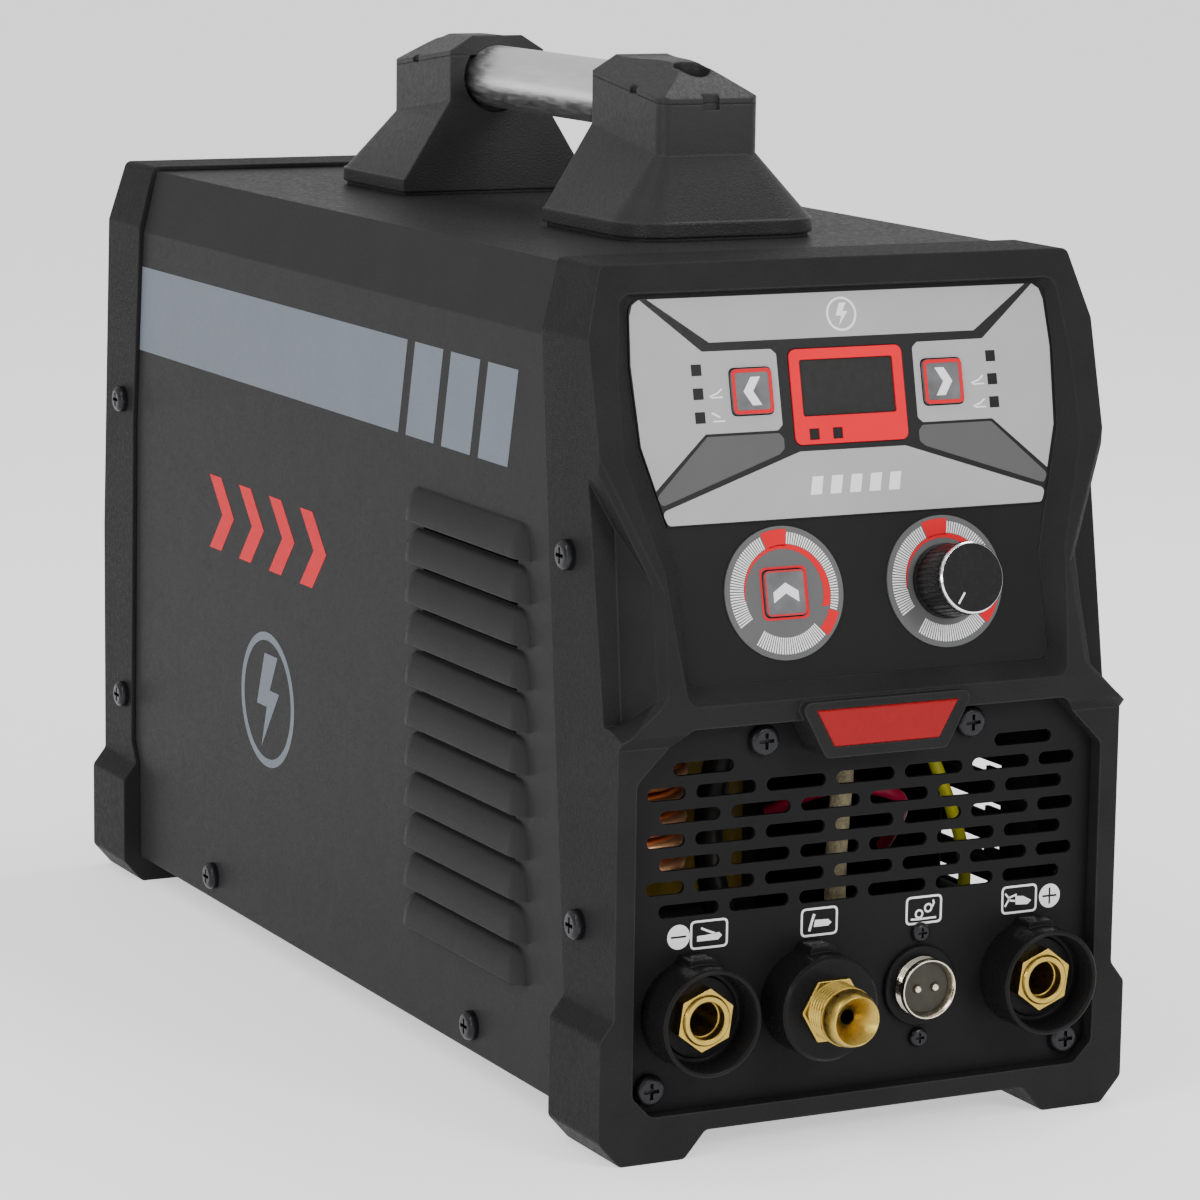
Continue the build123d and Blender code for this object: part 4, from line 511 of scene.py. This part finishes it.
def tick_start(angle):
    """Radius of a division's inner end, which moves outwards along the red arc."""
    turn = (angle - RED_ARC[0]) % 360
    sweep = RED_ARC[1] - RED_ARC[0]
    return 11.5 + 2.0 * turn / sweep if turn <= sweep else 11.3


for name, x in (("mode_dial", -DIAL_X), ("knob_dial", DIAL_X)):
    ticks = []
    angle = TICKS[0]
    while angle < TICKS[1]:
        place_angle = (angle + 180) % 360 - 180
        if not any(a - 1 < place_angle < b + 1 for a, b in RED_BLOCKS):
            inner = tick_start(angle)
            ticks.append([[clock(inner, angle - TICK_HALF), clock(TICK_OUTER_R, angle - TICK_HALF),
                           clock(TICK_OUTER_R, angle + TICK_HALF), clock(inner, angle + TICK_HALF)]])
        angle += TICK_STEP
    printed(name + "_divisions", on_panel(x, 0), ticks, "white", DIAL_TOP)
    arc = [clock(ARC_INNER_R, a) for a in range(RED_ARC[1], RED_ARC[0] - 1, -ARC_STEP)]
    arc += [clock(tick_start(a) - 0.15, a) for a in range(*RED_ARC, ARC_STEP)]
    reds = [[arc]]
    for a, b in RED_BLOCKS:
        spread_angles = [a + (b - a) * k / 8 for k in range(9)]
        reds.append([[clock(13.3 if a > 0 else 11.9, t) for t in reversed(spread_angles)]
                     + [clock(16.2, t) for t in spread_angles]])
    if x < 0:
        reds.append([box_outline(13.4, 13.4, radius=1.6), box_outline(KEY_HOLE, KEY_HOLE, radius=1.5)])
    printed(name + "_red", on_panel(x, 0), reds, "red", DIAL_TOP)

# knob: a face film that leaves a thin bright ring, and a pointer
KNOB_FACE = 14.5
POINTER = 217                   # degrees clockwise from the top, at rest
bm = bmesh.new()
plate(bm, on_panel(DIAL_X, 0), [circle(8.75, steps=96)], KNOB_FACE - 0.09, KNOB_FACE)
new_piece("knob_face_film", bm, FINISHES["knob_face"], "knob_body")
printed("knob_pointer", on_panel(DIAL_X, 0), [[stroke([clock(4.6, POINTER), clock(8.0, POINTER)], 0.5)]],
        "white", KNOB_FACE, "knob_body")

# ---------------------------------------------------------------- printing on the connector panel
SOCKET_Z = 37.0
SOCKET_XS = (-49.8, 49.8)
CONNECTOR_DEPTH = 4.5
ICON_Z = 56.8
face = on_front(0, CONNECTOR_DEPTH, ICON_Z)
minus = [[circle(3.2, -53.3), box_outline(4.4, 0.55, -53.3)]]
PLUS = [(0.28, 2.2), (0.28, 0.28), (2.2, 0.28), (2.2, -0.28), (0.28, -0.28), (0.28, -2.2), (-0.28, -2.2),
        (-0.28, -0.28), (-2.2, -0.28), (-2.2, 0.28), (-0.28, 0.28), (-0.28, 2.2)]
icons = minus + [[circle(3.2, 56.5), shifted(PLUS, 56.5, 0)]]
# framed symbols: electrode holder, torch, control plug and earth clamp
FRAME_XS = (-44.6, -12.7, 18.3, 47.2)
HOLDER = [(-3.4, -1.7), (2.6, -1.7), (3.7, -0.7), (2.9, 0.2), (-0.6, -0.2), (-3.4, -0.3)]
TORCH = [(-1.6, -1.3), (2.6, -1.3), (3.6, -0.5), (2.6, 0.4), (-1.2, 0.5)]
CLAMP = [(-1.0, -1.4), (2.6, -1.6), (3.7, -0.6), (1.2, 0.7), (-1.2, 0.9)]
for x in FRAME_XS:
    icons.append([box_outline(10.8, 7.5, x, 0, 1.5), box_outline(9.7, 6.4, x, 0, 1.0)])
icons += [[shifted(HOLDER, FRAME_XS[0], 0)],
          [stroke([(-46.9, 1.7), (-45.2, 0.9), (-42.9, 0.0)], 0.55)],
          [stroke([(-15.6, -2.3), (-14.9, 0.1), (-14.2, 2.1)], 0.7)],
          [shifted(TORCH, FRAME_XS[1], 0)],
          [circle(1.25, 16.9, -1.0, 24), circle(0.75, 16.9, -1.0, 24)],
          [circle(1.25, 19.6, 0.4, 24), circle(0.75, 19.6, 0.4, 24)],
          [stroke([(14.5, -2.3), (16.8, -2.4), (22.0, -2.3)], 0.5)],
          [stroke([(20.8, 0.6), (21.3, 1.6), (21.0, 2.4)], 0.5)],
          [shifted(CLAMP, FRAME_XS[3], 0)],
          [stroke([(42.9, 1.8), (44.6, -0.2), (46.0, -0.4)], 0.5)],
          [stroke([(42.9, -1.7), (44.4, 0.7), (46.4, 1.3)], 0.5)]]
printed("connector_marks", face, icons, "white", 0.0)

# ---------------------------------------------------------------- printing on the cover's sides
STRIPE = (168.6, 194.6)         # lower and upper edge
STRIPE_FRONT = 137
STRIPE_REAR = (332, 329.4)      # at its lower and upper edge
SLOPE = 6.0
EMBLEM_D, EMBLEM_Z = 229, 77.5


def slanted(near_rear, near_front):
    """Block of the stripe whose ends lean towards the front, as (depth, height)."""
    low, high = STRIPE
    return [(near_rear, low), (near_front, low), (near_front - SLOPE, high), (near_rear - SLOPE, high)]


for side, name in ((-1, "left"), (1, "right")):
    def on_cover(outline):
        return [(side * (d - LENGTH / 2), z) for d, z in outline]

    base = plane(Vector((side * COVER_HALF, 0, 0)) * MM, (0, side, 0), (0, 0, 1))
    stripe = [(STRIPE_REAR[0], STRIPE[0]), (STRIPE_FRONT, STRIPE[0]), (STRIPE_FRONT - SLOPE, STRIPE[1]),
              (STRIPE_REAR[1], STRIPE[1])]
    greys = [[on_cover(stripe)]]
    greys += [[on_cover(slanted(d, d - 18))] for d in (132, 109, 86)]
    emblem = [on_cover(circle(radius, EMBLEM_D, EMBLEM_Z, 72)) for radius in (20.0, 17.6)]
    bolt = [(EMBLEM_D - px * 22, EMBLEM_Z + py * 22) for px, py in BOLT]
    greys += [emblem, [on_cover(bolt)]]
    printed(name + "_cover_grey", base, greys, "blue_grey", 0.0)
    chevrons = []
    for start in (274, 251, 228, 205):
        chevrons.append([on_cover([(start, 116), (start - 9, 116), (start - 19, 127), (start - 9, 138),
                                   (start, 138), (start - 10, 127)])])
    printed(name + "_cover_red", base, chevrons, "red", 0.0)

# ---------------------------------------------------------------- torch connector and control socket
# threaded body with a funnel at its mouth, and the hexagon behind it
TORCH_X = -15.5
GAS_WAY_R = 1.9
TORCH_HEX_R = 9.2
THREAD_R, THREAD_PITCH = 7.7, 1.2
THREAD_START, THREAD_END = 9.0, 16.2
GROOVE_R = 7.35                 # faces of the thread inside this radius get a darker brass, painted shade in the grooves
torch_place = on_front(TORCH_X, 0, SOCKET_Z)
bm = bmesh.new()
rows = [(GAS_WAY_R, -24, 0), (6.6, -24, 0), (6.6, 8.9, 0)]
rows += thread_rows(THREAD_R, THREAD_START, THREAD_END, THREAD_PITCH)
rows += [(7.0, 16.3, 0), (7.5, 16.8, 0), (7.4, 18.2, 0), (6.6, 20.7, 0), (6.35, 21.0, 0), (6.2, 21.05, 0),
         (6.05, 20.9, 0), (2.0, 15.9, 0), (GAS_WAY_R, 15.6, 0)]
turned(bm, torch_place, rows, 96, THREAD_PITCH, 0.75)
torch_body = smooth(new_piece("torch_thread_body", bm, FINISHES["brass"]))
# darker brass painted into the thread's grooves as their shade
GROOVE_SHADE = finish("brass_painted_groove_shade", (0.16, 0.095, 0.02), 0.45, 1.0, grain=0.1, grain_size=0.4, rounding=0.0)
# slot 1: black plastic finish, painted shade inside the gas way's brass bore
torch_body.data.materials.append(FINISHES["socket_plastic"])
# slot 2: darker brass, painted shade in the thread's grooves
torch_body.data.materials.append(GROOVE_SHADE)
torch_axis = torch_place.translation
for polygon in torch_body.data.polygons:
    corners = [(torch_body.data.vertices[v].co - torch_axis) / MM for v in polygon.vertices]
    reach = max(corner.xz.length for corner in corners)
    # faces of the bore itself take the black finish as painted shade
    if reach < GAS_WAY_R + 0.05:
        polygon.material_index = 1
    # thread faces deep in the grooves take the painted groove shade
    elif reach < GROOVE_R and all(THREAD_START < -corner.y < THREAD_END for corner in corners):
        polygon.material_index = 2
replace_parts(torch_body, "torch_connector")
bm = bmesh.new()
hexagon = [(TORCH_HEX_R * math.cos(math.radians(a)), TORCH_HEX_R * math.sin(math.radians(a)))
           for a in range(0, 360, 60)]
plate(bm, torch_place, [hexagon], 8.0, 9.3)
torch_hexagon = new_piece("torch_hexagon", bm, FINISHES["brass"])
edge = torch_hexagon.modifiers.new("soft_edges", "BEVEL")
edge.width = 0.45 * MM
edge.segments = 3
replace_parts(torch_hexagon, "torch_connector")

# dinse sockets: moulded cups with a lug on top, then brass hexagons with a round bore
CUP_ROWS = [(6.95, -16, 0), (10.9, -16, 0), (10.9, -4.5, 0), (13.9, -4.5, 0), (14.0, 7.6, 0),
            (13.9, 8.2, 0), (13.6, 8.5, 0), (13.2, 8.6, 0), (12.9, 8.5, 0), (12.6, 8.1, 0), (12.1, 0.9, 0),
            (11.6, 0.3, 0), (10.8, 0.2, 0), (10.4, 1.0, 0), (8.6, 1.1, 0), (6.95, 1.1, 0)]
INSERT_ROWS = [(4.6, -20, 0), (6.6, -20, 0), (6.6, 4.9, 0), (6.2, 5.35, 0), (5.2, 5.4, 0), (4.9, 5.2, 0),
               (4.9, 2.4, 0), (4.6, 2.2, 0)]
bm = bmesh.new()
for x in SOCKET_XS:
    place = on_front(x, 0, SOCKET_Z)
    turned(bm, place, CUP_ROWS, 96)
    plate(bm, place, [box_outline(7.2, 3.0, 0, 13.8, 1.0)], -4.5, 2.6)
cups = smooth(new_piece("socket_cups", bm, FINISHES["socket_plastic"]))
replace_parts(cups, "socket_collars")

bm = bmesh.new()
for x in SOCKET_XS:
    place = on_front(x, 0, SOCKET_Z)
    turned(bm, place, INSERT_ROWS, 72)
    hexagon = [clock(8.3, a) for a in range(8, 368, 60)]
    plate(bm, place, [rounded(hexagon[::-1], 0.5), circle(6.65, steps=72)], -1.0, 4.6)
inserts = smooth(new_piece("socket_hexagons", bm, FINISHES["brass"]))
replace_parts(inserts, "socket_inserts")

# control socket: black flange and a nickel ring with an outer thread
CONTROL_X = 17.2
control_place = on_front(CONTROL_X, 0, SOCKET_Z)
bm = bmesh.new()
rows = [(8.05, -4.5, 0), (10.6, -4.5, 0), (10.6, -3.3, 0), (10.3, -2.95, 0), (9.9, -2.9, 0),
        (8.05, -2.9, 0)]
turned(bm, control_place, rows, 72)
flange = new_piece("control_socket_flange", bm, FINISHES["socket_plastic"])
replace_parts(smooth(flange), "control_socket")
bm = bmesh.new()
RING_PITCH = 0.85
rows = [(6.7, -14.5, 0), (7.9, -14.5, 0), (7.9, -3.2, 0)] + thread_rows(8.0, -3.1, 0.3, RING_PITCH)
rows += [(7.95, 0.5, 0), (7.95, 1.1, 0), (7.75, 1.4, 0), (7.45, 1.4, 0), (7.1, 0.9, 0), (6.7, -0.4, 0)]
turned(bm, control_place, rows, 96, RING_PITCH, 0.4)
control_ring = smooth(new_piece("control_socket_ring", bm, FINISHES["nickel"]))
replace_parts(control_ring, "control_socket")

# ---------------------------------------------------------------- leads, coil and guard
SLEEVE_PATH = [(9, 34, 40), (7, 32, 62), (10, 33, 92), (14, 36, 118), (6, 44, 142)]
sleeve = wire("braided_sleeve", [point(*p) for p in SLEEVE_PATH], 2.9, BRAID)
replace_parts(sleeve, "internal_leads")
LEAD_PATH = [(38, 60, 60), (35, 40, 76), (22, 34, 83), (6, 41, 83), (-1, 54, 74)]
red_lead = wire("red_lead", [point(*p) for p in LEAD_PATH], 1.8, FINISHES["lead_red"])
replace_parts(red_lead, "internal_leads")

# dark fibre sheets just inside the cover, behind the rear half of the louvres: painted shade that keeps the
# openings dark
FIBRE_SHADE = finish("fibre_shade_sheet", (0.018, 0.018, 0.017), 0.6, grain=0.15, grain_size=0.8, mottle=0.2,
               mottle_size=6.0, rounding=0.0, specular=0.1)
FIBRE_X = COVER_HALF - 4.0
FIBRE_DEPTH, FIBRE_Z = 103.0, 93.0
FIBRE_SIZE = (46.0, 122.0)
for side, name in ((-1, "left"), (1, "right")):
    bm = bmesh.new()
    base = plane(Vector((side * FIBRE_X, 0, 0)) * MM, (0, side, 0), (0, 0, 1))
    sheet = box_outline(*FIBRE_SIZE, side * (FIBRE_DEPTH - LENGTH / 2), FIBRE_Z, 4.0)
    # near-black sheet put behind the louvres as painted shade
    plate(bm, base, [sheet], 0.0, 0.6)
    new_piece(name + "_shade_sheet", bm, FIBRE_SHADE)

COIL_TURNS = 7
COIL_STEPS = 16                 # points on each turn
COIL_X, COIL_DEPTH, COIL_R = -46, 50, 14.0
COIL_LOW, COIL_RISE = 61.2, 41.6
coil_points = []
for k in range(COIL_TURNS * COIL_STEPS + 1):
    angle = 2 * math.pi * k / COIL_STEPS
    coil_points.append(point(COIL_X + COIL_R * math.cos(angle), COIL_DEPTH + COIL_R * math.sin(angle),
                             COIL_LOW + COIL_RISE * k / (COIL_TURNS * COIL_STEPS)))
coil = wire("coil_turns", coil_points, 2.7, FINISHES["copper"])
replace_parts(coil, "coupling_coil")

# fan guard: five wire rings, four eyes at the screws and a diagonal wire to each
low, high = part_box("fan_guard")
guard_y = (low[1] + high[1]) / 2
FAN_Z = 84.0
bm = bmesh.new()


def torus(centre, radius, wire_r, steps=96, around=10):
    """Closed wire ring that faces the back."""
    rings = []
    for k in range(steps):
        a = 2 * math.pi * k / steps
        ring = []
        for j in range(around):
            b = 2 * math.pi * j / around
            r = radius + wire_r * math.cos(b)
            place = (centre[0] + r * MM * math.cos(a), centre[1] + wire_r * MM * math.sin(b),
                     centre[2] + r * MM * math.sin(a))
            ring.append(bm.verts.new(place))
        rings.append(ring)
    for k in range(steps):
        a, b = rings[k], rings[(k + 1) % steps]
        for j in range(around):
            m = (j + 1) % around
            bm.faces.new((a[j], a[m], b[m], b[j]))


def rod(start, end, wire_r, around=10):
    """Straight wire with flat ends."""
    along = (end - start).normalized()
    across = along.cross(Vector((0, 1, 0)))
    other = Vector((0, 1, 0))
    ends = []
    for place in (start, end):
        ends.append([bm.verts.new(place + (across * math.cos(2 * math.pi * j / around)
                                           + other * math.sin(2 * math.pi * j / around)) * wire_r * MM)
                     for j in range(around)])
    for j in range(around):
        m = (j + 1) % around
        bm.faces.new((ends[0][j], ends[0][m], ends[1][m], ends[1][j]))
    bm.faces.new(ends[0])
    bm.faces.new(list(reversed(ends[1])))


GUARD_WIRE = 0.84
HUB_REACH = 6                   # where the diagonal wires end, across and up from the fan's axis
HOLE_REACH = 82.5 / 2
for radius in (41, 33, 25, 17, 9):
    torus((0, guard_y, FAN_Z * MM), radius, GUARD_WIRE)
for sx in (-1, 1):
    for sz in (-1, 1):
        eye = Vector((sx * HOLE_REACH * MM, guard_y, (FAN_Z + sz * HOLE_REACH) * MM))
        torus(tuple(eye), 3.4, GUARD_WIRE, 40)
        inward = Vector((-sx, 0, -sz)).normalized()
        hub_end = Vector((sx * HUB_REACH * MM, guard_y, (FAN_Z + sz * HUB_REACH) * MM))
        rod(eye + inward * 3.0 * MM, hub_end, GUARD_WIRE * 0.98)
guard = smooth(new_piece("guard_wires", bm, FINISHES["guard_wire"]))
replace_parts(guard, "fan_guard")

# ---------------------------------------------------------------- floor, light, camera
bpy.ops.mesh.primitive_plane_add(size=14)
floor = bpy.context.object
floor.name = "floor"
floor_made, floor_nodes, floor_links = new_material("pale_floor")
floor_shader = floor_nodes.new("ShaderNodeBsdfPrincipled")
floor_shader.inputs["Base Color"].default_value = (0.90, 0.90, 0.90, 1)
floor_shader.inputs["Roughness"].default_value = 0.8
floor_shader.inputs["Emission Color"].default_value = (1, 1, 1, 1)
floor_shader.inputs["Emission Strength"].default_value = 0.75
floor_links.new(floor_shader.outputs["BSDF"], floor_nodes.new("ShaderNodeOutputMaterial").inputs["Surface"])
floor.data.materials.append(floor_made)

world = bpy.data.worlds.new("studio")
bpy.context.scene.world = world
world.use_nodes = True
world.node_tree.nodes["Background"].inputs["Color"].default_value = (1, 1, 1, 1)
world.node_tree.nodes["Background"].inputs["Strength"].default_value = 0.7


def area_light(name, place, target, size, power):
    lamp = bpy.data.lights.new(name, "AREA")
    lamp.shape = "RECTANGLE"
    lamp.size, lamp.size_y = size
    lamp.energy = power
    holder = bpy.data.objects.new(name, lamp)
    holder.location = place
    holder.rotation_mode = "QUATERNION"
    holder.rotation_quaternion = (Vector(target) - Vector(place)).to_track_quat("-Z", "Y")
    bpy.context.scene.collection.objects.link(holder)


area_light("key", (0.5, -1.6, 0.9), (0, 0, 0.16), (0.5, 0.5), 13)
area_light("left", (-0.95, -0.35, 1.1), (0, 0, 0.12), (0.25, 0.9), 6)
area_light("front_left", (-1.15, -0.9, 0.42), (0, -0.1, 0.1), (0.2, 0.3), 3)
area_light("back_left", (-1.4, 0.9, 1.0), (0, 0, 0.14), (0.9, 0.5), 2)
area_light("top", (0.62, 0.1, 1.35), (0, 0, 0.18), (0.5, 0.6), 6)

# the photograph's camera, worked out from the straight edges of the body
camera = bpy.data.objects.new("camera", bpy.data.cameras.new("camera"))
bpy.context.scene.collection.objects.link(camera)
bpy.context.scene.camera = camera
YAW, PITCH, ROLL = math.radians(26.97), math.radians(-9.79), math.radians(0.83)
camera.data.lens = 137.4
camera.data.sensor_width = 36.0
camera.data.shift_x = -0.0165
camera.data.shift_y = -0.0217
camera.data.clip_end = 50
forward = Vector((math.sin(YAW) * math.cos(PITCH), math.cos(YAW) * math.cos(PITCH), math.sin(PITCH)))
level = Vector((math.cos(YAW), -math.sin(YAW), 0))
upright = level.cross(forward)
right = math.cos(ROLL) * level + math.sin(ROLL) * upright
above = math.cos(ROLL) * upright - math.sin(ROLL) * level
camera.rotation_mode = "QUATERNION"
camera.rotation_quaternion = Matrix((right, above, -forward)).transposed().to_quaternion()
camera.location = (-0.576, -1.1672, 0.3428)
